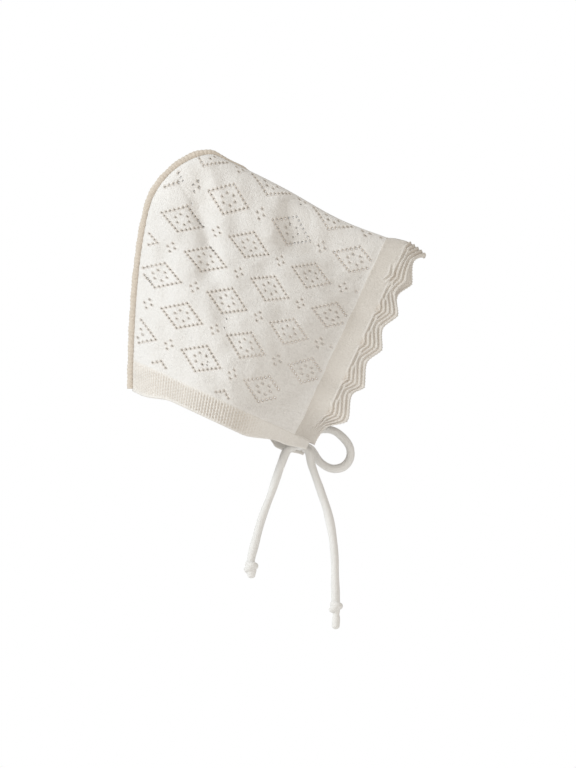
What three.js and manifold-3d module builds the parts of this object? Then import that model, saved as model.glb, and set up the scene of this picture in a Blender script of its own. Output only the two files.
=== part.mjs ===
// A knitted baby bonnet: a lace hood folded over the top, a scalloped brim, a ribbed neckband,
// a rolled back seam and cord ties in a half bow. Millimetres.
// The bonnet is drawn level, with forward = +X, near side = -Y, up = +Z and its lower front
// corner at zero. It is then tipped forward, and the cords are drawn in that tipped frame,
// where they hang straight down.
import * as THREE from 'three';
import { mergeGeometries, mergeVertices } from 'three/addons/utils/BufferGeometryUtils.js';
import Module from 'manifold-3d';

const wasm = await Module();
wasm.setup();

// Driving sizes
const FACE_HEIGHT = 150;
const GROOVE_X = -18;
const WORN_TILT = THREE.MathUtils.degToRad(25);
const HALF_WIDTH = 43;
const HOOD_WALL = 2;
const BRIM_WALL = 2;
const BAND_WALL = 2.4;
const JOIN_GAP = 0.3;
const HEAD_SEAT = { x: -85, z: 138 };

// Side outline of the hood: a shallow saddle in the ridge, a round crown corner and a back line
const SADDLE = { x: -52, dip: 4, halfLength: 36 };
const CROWN = { cornerX: -148, bulge: 26.5, widestZ: 105 };
const NAPE = { forward: 43, z: -18, curve: 1.33 };

// Half width: down from the ridge to the band's lower edge, and back from the groove to the seam
const ACROSS = [
  { down: 0, out: 0 },
  { down: 0.15, out: 0.27 },
  { down: 0.35, out: 0.6 },
  { down: 0.55, out: 0.85 },
  { down: 0.75, out: 0.99 },
  { down: 0.9, out: 1 },
  { down: 1, out: 0.95 },
];
const LENGTHWAYS = [
  { back: 0, out: 0.68 },
  { back: 0.12, out: 0.76 },
  { back: 0.28, out: 0.93 },
  { back: 0.44, out: 1 },
  { back: 0.62, out: 0.93 },
  { back: 0.78, out: 0.7 },
  { back: 0.9, out: 0.4 },
  { back: 1, out: 0 },
];
const CREASE = { radius: 4, reach: 8 };
const CHIN = { x: -6, z: -8, halfSize: 34, drawIn: 0.5 };

// Folds and dents: a soft ridge or valley along a line in the side view, rise is outward
const FOLDS = [
  { fromX: -156, fromZ: 138, toX: -118, toZ: 77, halfWidth: 7, rise: -4.5 },
  { fromX: -118, fromZ: 77, toX: -98, toZ: 57, halfWidth: 9, rise: -2 },
  { fromX: -152, fromZ: 76, toX: -119, toZ: 10, halfWidth: 6, rise: -2.5 },
  { fromX: -130, fromZ: 143, toX: -45, toZ: 89, halfWidth: 13, rise: 3.5 },
  { fromX: -86, fromZ: 141, toX: -80, toZ: 114, halfWidth: 8, rise: -4 },
  { fromX: -60, fromZ: 132, toX: -32, toZ: 126, halfWidth: 17, rise: -4 },
  { fromX: -17, fromZ: 128, toX: -22, toZ: 46, halfWidth: 9, rise: -3 },
  { fromX: -22, fromZ: 46, toX: -46, toZ: 15, halfWidth: 10, rise: -3 },
  { fromX: -112, fromZ: 30, toX: -108, toZ: -2, halfWidth: 14, rise: -4 },
  { fromX: -150, fromZ: 15, toX: -128, toZ: 12, halfWidth: 4, rise: -1.5 },
];

// Brim: rows across it, from the groove to the scalloped edge, with the rise of each ridge line
const BRIM_ROWS = [
  { forward: 0, scallop: 0, rise: 0 },
  { forward: 12, scallop: 0, rise: 0 },
  { forward: 13.5, scallop: 0, rise: 1.2 },
  { forward: 15, scallop: 0, rise: 0 },
  { forward: 16.5, scallop: 0, rise: 1.2 },
  { forward: 18, scallop: 0, rise: 0 },
  { forward: 18, scallop: 0.5, rise: 0.5 },
  { forward: 18, scallop: 1, rise: 0 },
];
const SCALLOP = { count: 12, steps: 6, valley: 4.5, tip: 10, ripple: 1, lowerFlank: 0.42 };
const BRIM = { flare: 6, droop: 7, droopHalfSpan: 0.04, chinFrom: 0.8, chinTurn: 5, chinShorter: 0.5 };

// Neckband: its lower edge runs level, rises to the front corner and drops at the nape
const BAND = { frontX: -8, height: 13, frontRise: 6, napeDrop: 5, proud: 0.4 };
const SEAM_RADIUS = 1.8;

// Lace lozenges, in half-drop columns counted back from the groove. Only the eyelet at each corner
// of a whole lozenge is cut through: the small ones between them are stitches.
const LACE = {
  firstX: -30, columnPitch: 23.8, columns: 5, firstZ: 126, rowPitch: 42.4, rows: 4,
  lean: 0.05, slope: 0.03, halfLength: 14.9, halfHeight: 9.8, eyeletHalf: 1.1,
  edgeMargin: 2, wallSpan: 6,
};

// Cords, in the tipped frame: x forward, z up, from the lower front corner
const CORD_RADIUS = 2.7;
const CORD_SIDES = 8;
const BOW_KNOT = { x: -13.5, y: 0, z: 3.4, radius: 6.2, exit: 3.5 };
const STRAP_STEPS = 3;
const LOOP_STEPS = 22;
const TAIL_STEPS = 12;

// Table helpers
function slopeAt(rows, key, value, k) {
  const before = rows[Math.max(k - 1, 0)];
  const after = rows[Math.min(k + 1, rows.length - 1)];
  return (after[value] - before[value]) / (after[key] - before[key]);
}

// A smooth curve through a table's rows, each stretch a cubic with the slopes of its neighbours
function alongTable(rows, key, value, at) {
  const place = THREE.MathUtils.clamp(at, rows[0][key], rows[rows.length - 1][key]);
  let k = 0;
  while (k < rows.length - 2 && place > rows[k + 1][key]) {
    k += 1;
  }
  const span = rows[k + 1][key] - rows[k][key];
  const t = (place - rows[k][key]) / span;
  const startSlope = slopeAt(rows, key, value, k) * span;
  const endSlope = slopeAt(rows, key, value, k + 1) * span;
  const rise = t * t * (3 - 2 * t);
  return (1 - rise) * rows[k][value] + rise * rows[k + 1][value]
    + t * (1 - t) * (1 - t) * startSlope - t * t * (1 - t) * endSlope;
}

// Side outline
function ridgeHeight(x) {
  const away = (Math.max(x, CROWN.cornerX) - SADDLE.x) / SADDLE.halfLength;
  return FACE_HEIGHT - SADDLE.dip * Math.exp(-away * away);
}

function backLine(z) {
  const widestX = CROWN.cornerX - CROWN.bulge;
  if (z > CROWN.widestZ) {
    const up = Math.min((z - CROWN.widestZ) / (FACE_HEIGHT - CROWN.widestZ), 1);
    return CROWN.cornerX - CROWN.bulge * (1 - up * up) ** (2 / 3);
  }
  const down = (CROWN.widestZ - z) / (CROWN.widestZ - NAPE.z);
  return widestX + NAPE.forward * down ** NAPE.curve;
}

// The back line as a curve from a height up to the crown corner, evenly spaced along its length
function backCurve(fromZ, outward = 0) {
  const points = [];
  const steps = 24;
  for (let k = 0; k <= steps; k += 1) {
    const z = fromZ + (CROWN.widestZ - fromZ) * (k / steps);
    points.push(new THREE.Vector3(backLine(z), 0, z));
  }
  for (let k = 1; k <= steps; k += 1) {
    const z = CROWN.widestZ + (FACE_HEIGHT - CROWN.widestZ) * Math.sin((k / steps) * (Math.PI / 2));
    points.push(new THREE.Vector3(backLine(z), 0, z));
  }
  const line = new THREE.CatmullRomCurve3(points);
  if (outward === 0) {
    return line;
  }
  const moved = [];
  const samples = 40;
  for (let k = 0; k < samples; k += 1) {
    const tangent = line.getTangentAt(k / samples);
    const normal = new THREE.Vector3(-tangent.z, 0, tangent.x);
    moved.push(line.getPointAt(k / samples).addScaledVector(normal, outward));
  }
  return new THREE.CatmullRomCurve3(moved);
}

// Outward relief of the folds and dents at a place in the side view
function foldRelief(x, z) {
  let rise = 0;
  for (const fold of FOLDS) {
    const lineX = fold.toX - fold.fromX;
    const lineZ = fold.toZ - fold.fromZ;
    const along = ((x - fold.fromX) * lineX + (z - fold.fromZ) * lineZ) / (lineX ** 2 + lineZ ** 2);
    const t = THREE.MathUtils.clamp(along, 0, 1);
    const awayX = x - fold.fromX - lineX * t;
    const awayZ = z - fold.fromZ - lineZ * t;
    rise += fold.rise * Math.exp(-(awayX ** 2 + awayZ ** 2) / fold.halfWidth ** 2);
  }
  return rise;
}

// Half width of the bonnet at a place in the side view. It is nothing at the ridge and the seam,
// where the sheet turns over in a crease of the given radius.
function halfWidth(x, z) {
  const ridgeGap = Math.max(ridgeHeight(x) - z, 0);
  const backGap = Math.max(x - backLine(z), 0);
  if (ridgeGap === 0 || backGap === 0) {
    return 0;
  }
  const down = ridgeGap / (ridgeHeight(x) + BAND.height);
  const back = (GROOVE_X - x) / (GROOVE_X - backLine(z));
  const chinAway = ((x - CHIN.x) ** 2 + (z - CHIN.z) ** 2) / CHIN.halfSize ** 2;
  const drawn = 1 - CHIN.drawIn * Math.exp(-chinAway);
  const plain = HALF_WIDTH * drawn * alongTable(ACROSS, 'down', 'out', down)
    * alongTable(LENGTHWAYS, 'back', 'out', back);
  const body = plain + foldRelief(x, z) * Math.min(plain / 12, 1);
  const gap = (ridgeGap * backGap) / (ridgeGap + backGap);
  const crease = 2 * CREASE.radius * CREASE.reach * (1 - Math.exp(-gap / CREASE.reach));
  return Math.sqrt(body * body + crease);
}

// Mesh helpers
function surfaceGeometry(points, closedStart) {
  const rows = points.length;
  const columns = points[0].length;
  const positions = [];
  for (const row of points) {
    for (const point of row) {
      positions.push(point.x, point.y, point.z);
    }
  }
  const middle = (columns - 1) / 2;
  const index = [];
  for (let i = 0; i < rows - 1; i += 1) {
    for (let j = 0; j < columns - 1; j += 1) {
      const a = i * columns + j;
      const b = a + columns;
      if (closedStart && j < middle) {
        index.push(a, b, a + 1, b, b + 1, a + 1);
      } else {
        index.push(a, b, b + 1, a, b + 1, a + 1);
      }
    }
  }
  const geometry = new THREE.BufferGeometry();
  geometry.setAttribute('position', new THREE.Float32BufferAttribute(positions, 3));
  geometry.setIndex(index);
  return geometry;
}

// Vertex normals of a grid of points, as one array of vectors for each row. Points that lie on
// each other, as at the seam, share one normal.
function gridNormals(points, closedStart) {
  const merged = mergeVertices(surfaceGeometry(points, closedStart), 1e-3);
  merged.computeVertexNormals();
  const place = merged.attributes.position;
  const normal = merged.attributes.normal;
  const table = new Map();
  const name = (x, y, z) => [x, y, z].map((value) => Math.round(value * 500)).join(',');
  for (let k = 0; k < place.count; k += 1) {
    const vector = new THREE.Vector3().fromBufferAttribute(normal, k);
    table.set(name(place.getX(k), place.getY(k), place.getZ(k)), vector);
  }
  return points.map((row) => row.map((point) => {
    const found = table.get(name(Math.fround(point.x), Math.fround(point.y), Math.fround(point.z)));
    return found.clone();
  }));
}

// A closed wall from an outer and an inner grid of points. With closedStart, the two halves of the
// first row lie on each other and the wall has no rim there.
function wallGeometry(outer, inner, closedStart) {
  const rows = outer.length;
  const columns = outer[0].length;
  const outside = surfaceGeometry(outer, closedStart);
  const inside = surfaceGeometry(inner, closedStart);
  const count = rows * columns;
  const index = [...outside.index.array];
  const turned = inside.index.array;
  for (let k = 0; k < turned.length; k += 3) {
    index.push(turned[k] + count, turned[k + 2] + count, turned[k + 1] + count);
  }
  const rim = (a, b) => index.push(b, a, a + count, b, a + count, b + count);
  for (let j = 0; j < columns - 1; j += 1) {
    const last = (rows - 1) * columns + j;
    rim(last, last + 1);
    if (!closedStart) {
      rim(j + 1, j);
    }
  }
  for (let i = 0; i < rows - 1; i += 1) {
    rim(i * columns, (i + 1) * columns);
    rim((i + 1) * columns + columns - 1, i * columns + columns - 1);
  }
  const places = [...outside.attributes.position.array, ...inside.attributes.position.array];
  const geometry = new THREE.BufferGeometry();
  geometry.setAttribute('position', new THREE.Float32BufferAttribute(places, 3));
  geometry.setIndex(index);
  return withNormals(mergeVertices(geometry, 1e-3));
}

function withNormals(geometry) {
  geometry.computeVertexNormals();
  return geometry;
}

function asSolid(geometry) {
  const plain = geometry.clone();
  plain.deleteAttribute('normal');
  plain.deleteAttribute('uv');
  const merged = mergeVertices(plain, 1e-3);
  return new wasm.Manifold(new wasm.Mesh({
    numProp: 3,
    vertProperties: new Float32Array(merged.attributes.position.array),
    triVerts: new Uint32Array(merged.index.array),
  }));
}

function asGeometry(solid) {
  const mesh = solid.getMesh();
  const geometry = new THREE.BufferGeometry();
  geometry.setAttribute('position', new THREE.Float32BufferAttribute(mesh.vertProperties, 3));
  geometry.setIndex([...mesh.triVerts]);
  return withNormals(geometry);
}

// Moves each point inward along its normal by the wall, with the listed parts of the normal
// taken out first so that a rim stays square to its neighbour
function inwardGrid(points, normals, wall, flatten) {
  return points.map((row, i) => row.map((point, j) => {
    const normal = normals[i][j].clone();
    flatten(normal, i, j);
    normal.normalize();
    return point.clone().addScaledVector(normal, -wall);
  }));
}

// Hood
const HOOD_ROWS = 28;
const HOOD_SIDE_COLUMNS = 14;

function hoodGrid() {
  const lowZ = JOIN_GAP / 2;
  const frontX = GROOVE_X - JOIN_GAP / 2;
  const back = backCurve(lowZ);
  const frontLow = { x: frontX, z: lowZ };
  const frontTop = { x: frontX, z: ridgeHeight(frontX) };
  const backLow = { x: backLine(lowZ), z: lowZ };
  const backTop = { x: CROWN.cornerX, z: FACE_HEIGHT };
  const grid = [];
  for (let i = 0; i <= HOOD_ROWS; i += 1) {
    const u = 1 - (i / HOOD_ROWS) ** 1.5;
    const row = [];
    for (let j = -HOOD_SIDE_COLUMNS; j <= HOOD_SIDE_COLUMNS; j += 1) {
      const v = 1 - (Math.abs(j) / HOOD_SIDE_COLUMNS) ** 1.7;
      const seam = back.getPointAt(v);
      const front = frontLow.z + (frontTop.z - frontLow.z) * v;
      const lowX = frontX + (backLow.x - frontX) * u;
      const topX = frontX + (backTop.x - frontX) * u;
      const topZ = ridgeHeight(topX);
      const x = (1 - u) * frontX + u * seam.x + (1 - v) * lowX + v * topX
        - (1 - u) * (1 - v) * frontLow.x - u * (1 - v) * backLow.x
        - (1 - u) * v * frontTop.x - u * v * backTop.x;
      const z = (1 - u) * front + u * seam.z + (1 - v) * lowZ + v * topZ
        - (1 - u) * (1 - v) * lowZ - u * (1 - v) * lowZ
        - (1 - u) * v * frontTop.z - u * v * backTop.z;
      const onCrease = i === 0 || j === 0;
      const y = onCrease ? 0 : Math.sign(j) * halfWidth(x, z);
      row.push(new THREE.Vector3(x, y, z));
    }
    grid.push(row);
  }
  return grid;
}

// A four-sided prism that cuts one eyelet through the wall of one side
function eyeletCutter(x, z, side) {
  const { eyeletHalf, wallSpan } = LACE;
  const shape = new THREE.Shape([
    new THREE.Vector2(eyeletHalf, 0), new THREE.Vector2(0, eyeletHalf),
    new THREE.Vector2(-eyeletHalf, 0), new THREE.Vector2(0, -eyeletHalf),
  ]);
  const centre = halfWidth(x, z);
  const nearest = Math.max(centre - wallSpan, 0.5);
  const depth = centre + wallSpan - nearest;
  const geometry = new THREE.ExtrudeGeometry(shape, { depth, bevelEnabled: false });
  geometry.rotateX(Math.PI / 2);
  geometry.translate(x, side > 0 ? nearest + depth : -nearest, z);
  return geometry;
}

function eyeletCutters() {
  const { halfLength, halfHeight, columnPitch, rowPitch, edgeMargin } = LACE;
  const corners = [[halfLength, 0], [0, halfHeight], [-halfLength, 0], [0, -halfHeight]];
  const cutters = [];
  for (let column = 0; column < LACE.columns; column += 1) {
    const halfDrop = column % 2 === 0 ? 0 : rowPitch / 2;
    for (let row = 0; row < LACE.rows; row += 1) {
      const z = LACE.firstZ + halfDrop - row * rowPitch - LACE.slope * columnPitch * column;
      const x = LACE.firstX - columnPitch * column - LACE.lean * (z - CROWN.widestZ);
      const clearTop = z + halfHeight + edgeMargin < ridgeHeight(x);
      const clearLow = z - halfHeight > edgeMargin;
      if (clearTop && clearLow) {
        for (const [alongX, alongZ] of corners) {
          const eyeletX = Math.min(x + alongX, GROOVE_X - edgeMargin);
          cutters.push(eyeletCutter(eyeletX, z + alongZ, -1), eyeletCutter(eyeletX, z + alongZ, 1));
        }
      }
    }
  }
  return cutters;
}

function makeHood() {
  const outer = hoodGrid();
  const last = outer[0].length - 1;
  const inner = inwardGrid(outer, gridNormals(outer, true), HOOD_WALL, (normal, i, j) => {
    if (i === HOOD_ROWS) {
      normal.x = 0;
    }
    if (j === 0 || j === last) {
      normal.z = 0;
    }
    if (i === 0 || j === last / 2) {
      normal.y = 0;
    }
  });
  const wall = asSolid(wallGeometry(outer, inner, true));
  return asGeometry(wall.subtract(asSolid(mergeGeometries(eyeletCutters()))));
}

// Brim
function grooveSection() {
  const steps = 48;
  const topZ = ridgeHeight(GROOVE_X);
  const points = [];
  for (let k = -steps; k <= steps; k += 1) {
    const share = Math.abs(k) / steps;
    const z = topZ - (topZ - JOIN_GAP / 2) * share ** 1.8;
    const y = k === 0 ? 0 : Math.sign(k) * halfWidth(GROOVE_X, z);
    points.push(new THREE.Vector3(GROOVE_X + JOIN_GAP / 2, y, z));
  }
  return new THREE.CatmullRomCurve3(points);
}

// Forward reach past the ridge lines. Each scallop rises slowly to an angular tip and falls faster
// below it, to a soft valley. One tip lies on the ridge and one at each end.
function scallopReach(share) {
  const fromRidge = Math.abs(share - 0.5) * SCALLOP.count;
  const belowTip = fromRidge - Math.floor(fromRidge);
  const falling = 1 - belowTip / SCALLOP.lowerFlank;
  const rising = (belowTip - SCALLOP.lowerFlank) / (1 - SCALLOP.lowerFlank);
  const height = Math.max(falling, rising) ** 1.4;
  return SCALLOP.valley + (SCALLOP.tip - SCALLOP.valley) * height;
}

function brimPoint(section, share, row) {
  const base = section.getPointAt(share);
  const tangent = section.getTangentAt(share);
  const upFromEnd = THREE.MathUtils.smoothstep(base.z, 0, 20);
  const normal = new THREE.Vector3(0, -tangent.z, tangent.y * upFromEnd).normalize();
  const full = BRIM_ROWS[BRIM_ROWS.length - 1].forward + SCALLOP.valley;
  const towardChin = THREE.MathUtils.smoothstep(Math.abs(2 * share - 1), BRIM.chinFrom, 1);
  const plain = row.forward + row.scallop * scallopReach(share);
  const forward = plain * (1 - BRIM.chinShorter * towardChin);
  const reached = forward / full;
  const top = Math.exp(-(((share - 0.5) / BRIM.droopHalfSpan) ** 2));
  const droop = BRIM.droop * top * Math.max(reached - 0.5, 0) ** 1.5 * 2;
  const wave = SCALLOP.ripple * Math.cos(2 * Math.PI * SCALLOP.count * share) * reached ** 2;
  const out = BRIM.flare * reached ** 1.6 - droop - BRIM.chinTurn * towardChin * reached + wave;
  return base.clone().add(new THREE.Vector3(forward, 0, 0)).addScaledVector(normal, out);
}

function makeBrim() {
  const section = grooveSection();
  const columns = SCALLOP.count * SCALLOP.steps;
  const smoothGrid = BRIM_ROWS.map((row) => {
    const points = [];
    for (let j = 0; j <= columns; j += 1) {
      points.push(brimPoint(section, j / columns, row));
    }
    return points;
  });
  const normals = gridNormals(smoothGrid, false);
  const flatten = (normal, i, j) => {
    if (i === 0) {
      normal.x = 0;
    }
    if (j === 0 || j === columns) {
      normal.z = 0;
    }
  };
  const inner = inwardGrid(smoothGrid, normals, BRIM_WALL, flatten);
  const outer = smoothGrid.map((row, i) => row.map((point, j) => (
    point.clone().addScaledVector(normals[i][j], BRIM_ROWS[i].rise)
  )));
  return wallGeometry(outer, inner, false);
}

// Neckband
const BAND_COLUMNS = 30;
const BAND_ROWS = 3;

function bandLowerEdge(x) {
  const front = THREE.MathUtils.smoothstep(x, -48, BAND.frontX);
  const nape = THREE.MathUtils.smoothstep(-x, 108, 134);
  return -BAND.height + BAND.frontRise * front - BAND.napeDrop * nape;
}

// One strip from the near front corner round the nape to the far front corner
function makeNeckband() {
  const stations = [];
  for (let k = -BAND_COLUMNS; k <= BAND_COLUMNS; k += 1) {
    stations.push({ back: 1 - (Math.abs(k) / BAND_COLUMNS) ** 1.6, side: Math.sign(k) });
  }
  const outer = [];
  for (let i = 0; i <= BAND_ROWS; i += 1) {
    outer.push(stations.map(({ back, side }) => {
      const roughX = BAND.frontX + (backLine(-JOIN_GAP) - BAND.frontX) * back;
      const z = -JOIN_GAP / 2 + (bandLowerEdge(roughX) + JOIN_GAP / 2) * (i / BAND_ROWS);
      const x = BAND.frontX + (backLine(z) - BAND.frontX) * back;
      const wide = side === 0 ? 0 : halfWidth(x, z);
      const proud = BAND.proud * Math.min(wide / 5, 1);
      return new THREE.Vector3(x, side * (wide + proud), z);
    }));
  }
  outer.reverse();
  const normals = gridNormals(outer, false);
  const last = outer[0].length - 1;
  const inner = inwardGrid(outer, normals, BAND_WALL, (normal, i, j) => {
    if (i === BAND_ROWS) {
      normal.z = 0;
    }
    if (j === 0 || j === last) {
      normal.x = 0;
    }
    if (j === last / 2) {
      normal.y = 0;
    }
  });
  return wallGeometry(outer, inner, false);
}

// Tubes
function tubeAlong(curve, radius, sides, steps) {
  const section = new THREE.Shape();
  for (let k = 0; k < sides; k += 1) {
    const turn = (2 * Math.PI * (k + 0.5)) / sides;
    const place = [radius * Math.cos(turn), radius * Math.sin(turn)];
    if (k === 0) {
      section.moveTo(...place);
    } else {
      section.lineTo(...place);
    }
  }
  return new THREE.ExtrudeGeometry(section, { steps, extrudePath: curve, bevelEnabled: false });
}

function makeBackSeam() {
  const curve = backCurve(bandLowerEdge(backLine(NAPE.z)) + 1, SEAM_RADIUS + JOIN_GAP);
  return tubeAlong(curve, SEAM_RADIUS, 8, 32);
}

// Cords. Each route is chosen by hand in the tipped frame and leaves the bow knot square to it.
function knotExit(towardX, towardY, towardZ) {
  const toward = new THREE.Vector3(towardX, towardY, towardZ).normalize();
  const centre = new THREE.Vector3(BOW_KNOT.x, BOW_KNOT.y, BOW_KNOT.z);
  const first = BOW_KNOT.radius + JOIN_GAP;
  return [first, first + BOW_KNOT.exit].map((away) => centre.clone().addScaledVector(toward, away));
}

const KNOT_EXITS = {
  leftTail: [-0.85, -0.1, -0.5],
  rightTail: [0.62, -0.45, -0.64],
  loopStart: [0.55, 0.35, 0.76],
  loopEnd: [0.75, 0.5, -0.45],
};
const LEFT_TAIL = [
  [-26.2, -1.5, -11], [-33.1, -2, -31.1], [-39.2, -2, -47.3], [-44.6, -2, -66.8], [-46.7, -2, -75.7],
];
const RIGHT_TAIL = [
  [-5.8, -5.4, -10.8], [0, -6, -27.7], [5.1, -6, -43.2], [8.4, -6, -59.1], [10, -6, -74.9],
  [10.3, -6, -91.1], [10.6, -6, -102.8],
];
const BOW_LOOP = [
  [0.4, 4, 12.4], [8.8, 3, 11.7], [15.5, 2.6, 7], [20.2, 2.4, 0.2], [20.4, 2.4, -6.8],
  [16.2, 2.4, -12.6], [8.4, 2.6, -14.2], [0.4, 3.6, -10],
];
const END_KNOTS = {
  left: { x: -46.7, y: -2, z: -80.3, radius: 4.3, tipRadius: 3.2, tipLength: 8.1 },
  right: { x: 10.7, y: -6, z: -107.3, radius: 4.2, tipRadius: 2.6, tipLength: 15.5 },
};

function routeCurve(start, middle, end = []) {
  const points = middle.map((point) => new THREE.Vector3(...point));
  return new THREE.CatmullRomCurve3([...start, ...points, ...end]);
}

function makeEndKnot({ x, y, z, radius, tipRadius, tipLength }) {
  const profile = [new THREE.Vector2(0, radius)];
  for (const turn of [60, 30, 0, -30]) {
    const angle = THREE.MathUtils.degToRad(turn);
    profile.push(new THREE.Vector2(radius * Math.cos(angle), radius * Math.sin(angle)));
  }
  profile.push(new THREE.Vector2(tipRadius * 0.85, -radius * 0.9));
  profile.push(new THREE.Vector2(tipRadius, -tipLength + 1));
  profile.push(new THREE.Vector2(tipRadius * 0.6, -tipLength));
  profile.push(new THREE.Vector2(0, -tipLength));
  profile.reverse();
  const geometry = new THREE.LatheGeometry(profile, 12);
  geometry.rotateX(Math.PI / 2);
  geometry.translate(x, y, z);
  return geometry;
}

// Materials and placing
function cloth(colour, roughness) {
  return new THREE.MeshStandardMaterial({ color: colour, roughness, metalness: 0 });
}

const LACE_KNIT = cloth(0xdbd6d0, 0.9);
const BRIM_KNIT = cloth(0xd6cfc4, 0.9);
const RIB_KNIT = cloth(0xd6cec2, 0.92);
const SEAM_KNIT = cloth(0xc3b29b, 0.92);
const CORD_KNIT = cloth(0xeeece8, 0.85);

function piece(name, geometry, material) {
  const mesh = new THREE.Mesh(geometry, material);
  mesh.name = name;
  return mesh;
}

const bonnet = new THREE.Group();
bonnet.rotation.y = WORN_TILT;
bonnet.add(piece('hood', makeHood(), LACE_KNIT));
bonnet.add(piece('brim', makeBrim(), BRIM_KNIT));
bonnet.add(piece('neckband', makeNeckband(), RIB_KNIT));
bonnet.add(piece('back_seam', makeBackSeam(), SEAM_KNIT));

// Where the straps leave the inner face of the neckband at its front corners
const STRAP = { x: -13.5, z: -3.2 };
const strapStart = new THREE.Vector3(STRAP.x, halfWidth(STRAP.x, STRAP.z), STRAP.z)
  .applyAxisAngle(new THREE.Vector3(0, 1, 0), WORN_TILT);

function makeStrap(side) {
  const inside = strapStart.y - BAND_WALL - JOIN_GAP * 2;
  const start = new THREE.Vector3(strapStart.x, side * inside, strapStart.z);
  const curve = new THREE.LineCurve3(start, knotExit(0, side, 0)[0]);
  return tubeAlong(curve, CORD_RADIUS, CORD_SIDES, STRAP_STEPS);
}

const ties = new THREE.Group();
const knot = new THREE.SphereGeometry(BOW_KNOT.radius, 14, 10);
knot.rotateX(Math.PI / 2);
knot.translate(BOW_KNOT.x, BOW_KNOT.y, BOW_KNOT.z);
const loopStart = knotExit(...KNOT_EXITS.loopStart);
const loopCurve = routeCurve(loopStart, BOW_LOOP, knotExit(...KNOT_EXITS.loopEnd).reverse());
const leftCurve = routeCurve(knotExit(...KNOT_EXITS.leftTail), LEFT_TAIL);
const rightCurve = routeCurve(knotExit(...KNOT_EXITS.rightTail), RIGHT_TAIL);
ties.add(piece('strap_near', makeStrap(-1), CORD_KNIT));
ties.add(piece('strap_far', makeStrap(1), CORD_KNIT));
ties.add(piece('bow_knot', knot, CORD_KNIT));
ties.add(piece('bow_loop', tubeAlong(loopCurve, CORD_RADIUS, CORD_SIDES, LOOP_STEPS), CORD_KNIT));
ties.add(piece('tail_left', tubeAlong(leftCurve, CORD_RADIUS, CORD_SIDES, TAIL_STEPS), CORD_KNIT));
ties.add(piece('tail_right', tubeAlong(rightCurve, CORD_RADIUS, CORD_SIDES, TAIL_STEPS), CORD_KNIT));
ties.add(piece('end_knot_left', makeEndKnot(END_KNOTS.left), CORD_KNIT));
ties.add(piece('end_knot_right', makeEndKnot(END_KNOTS.right), CORD_KNIT));

// The origin is the head's seat under the crown ridge
const seat = new THREE.Vector3(HEAD_SEAT.x, 0, HEAD_SEAT.z)
  .applyAxisAngle(new THREE.Vector3(0, 1, 0), WORN_TILT);
const group = new THREE.Group();
group.add(bonnet, ties);
group.position.copy(seat).negate();

export default group;
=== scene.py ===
"""Looks of the knitted baby bonnet: lace hood, scalloped brim, ribbed neckband, back seam and ties.

The level frame is in millimetres, with x forward, y to the wearer's left, z up and zero at the
lower front corner. worn() tips it forward and moves it into the shared frame, in metres.
"""

import bmesh
import bpy
import numpy as np
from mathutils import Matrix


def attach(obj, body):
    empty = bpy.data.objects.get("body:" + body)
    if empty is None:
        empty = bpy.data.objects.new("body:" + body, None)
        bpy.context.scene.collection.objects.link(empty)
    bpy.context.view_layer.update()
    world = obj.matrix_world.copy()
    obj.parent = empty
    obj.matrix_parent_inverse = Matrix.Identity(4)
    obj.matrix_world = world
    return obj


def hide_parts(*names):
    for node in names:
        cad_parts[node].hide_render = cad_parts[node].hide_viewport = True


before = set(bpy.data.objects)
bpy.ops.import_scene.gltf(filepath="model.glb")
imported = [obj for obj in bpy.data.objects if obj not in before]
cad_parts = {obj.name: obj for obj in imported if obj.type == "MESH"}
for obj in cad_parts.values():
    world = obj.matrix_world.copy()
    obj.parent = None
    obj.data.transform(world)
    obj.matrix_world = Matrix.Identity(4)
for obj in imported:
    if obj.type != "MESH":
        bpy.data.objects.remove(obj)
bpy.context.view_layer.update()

# Driving sizes of the bonnet, in millimetres
MM = 0.001
FACE_HEIGHT = 150.0
GROOVE_X = -18.0
WORN_TILT = np.radians(25.0)
HALF_WIDTH = 43.0
HEAD_SEAT = {"x": -85.0, "z": 138.0}
SADDLE = {"x": -52.0, "dip": 4.0, "half_length": 36.0}
CROWN = {"corner_x": -148.0, "bulge": 26.5, "widest_z": 105.0}
NAPE = {"forward": 43.0, "z": -18.0, "curve": 1.33}
CREASE = {"radius": 4.0, "reach": 8.0}
CHIN = {"x": -6.0, "z": -8.0, "half_size": 34.0, "draw_in": 0.5}
BAND = {
    "front_x": -8.0, "height": 13.0, "front_rise": 6.0, "front_round": 3.0, "nape_drop": 5.0,
    "proud": 0.4, "far_sag": 4.5, "wall": 2.2, "top": 2.2, "flat_height": 15.0,
}

# Share of the half width: down from the ridge, and back from the groove
ACROSS = ((0, 0), (0.15, 0.27), (0.35, 0.6), (0.55, 0.85), (0.75, 0.99), (0.9, 1), (1, 0.95))
LENGTHWAYS = (
    (0, 0.68), (0.12, 0.76), (0.28, 0.93), (0.44, 1), (0.62, 0.93), (0.78, 0.7), (0.9, 0.4), (1, 0),
)

# Folds and dents: from x and z, to x and z, half width of the fold, rise outward
FOLDS = (
    (-156, 138, -118, 77, 7, -4.5),
    (-118, 77, -98, 57, 9, -2),
    (-152, 76, -119, 10, 6, -2.5),
    (-130, 143, -45, 89, 13, 3.5),
    (-86, 141, -80, 114, 8, -4),
    (-60, 132, -32, 126, 17, -4),
    (-17, 128, -22, 46, 9, -3),
    (-22, 46, -46, 15, 10, -3),
    (-112, 30, -108, -2, 14, -4),
    (-150, 15, -128, 12, 4, -1.5),
)

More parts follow.
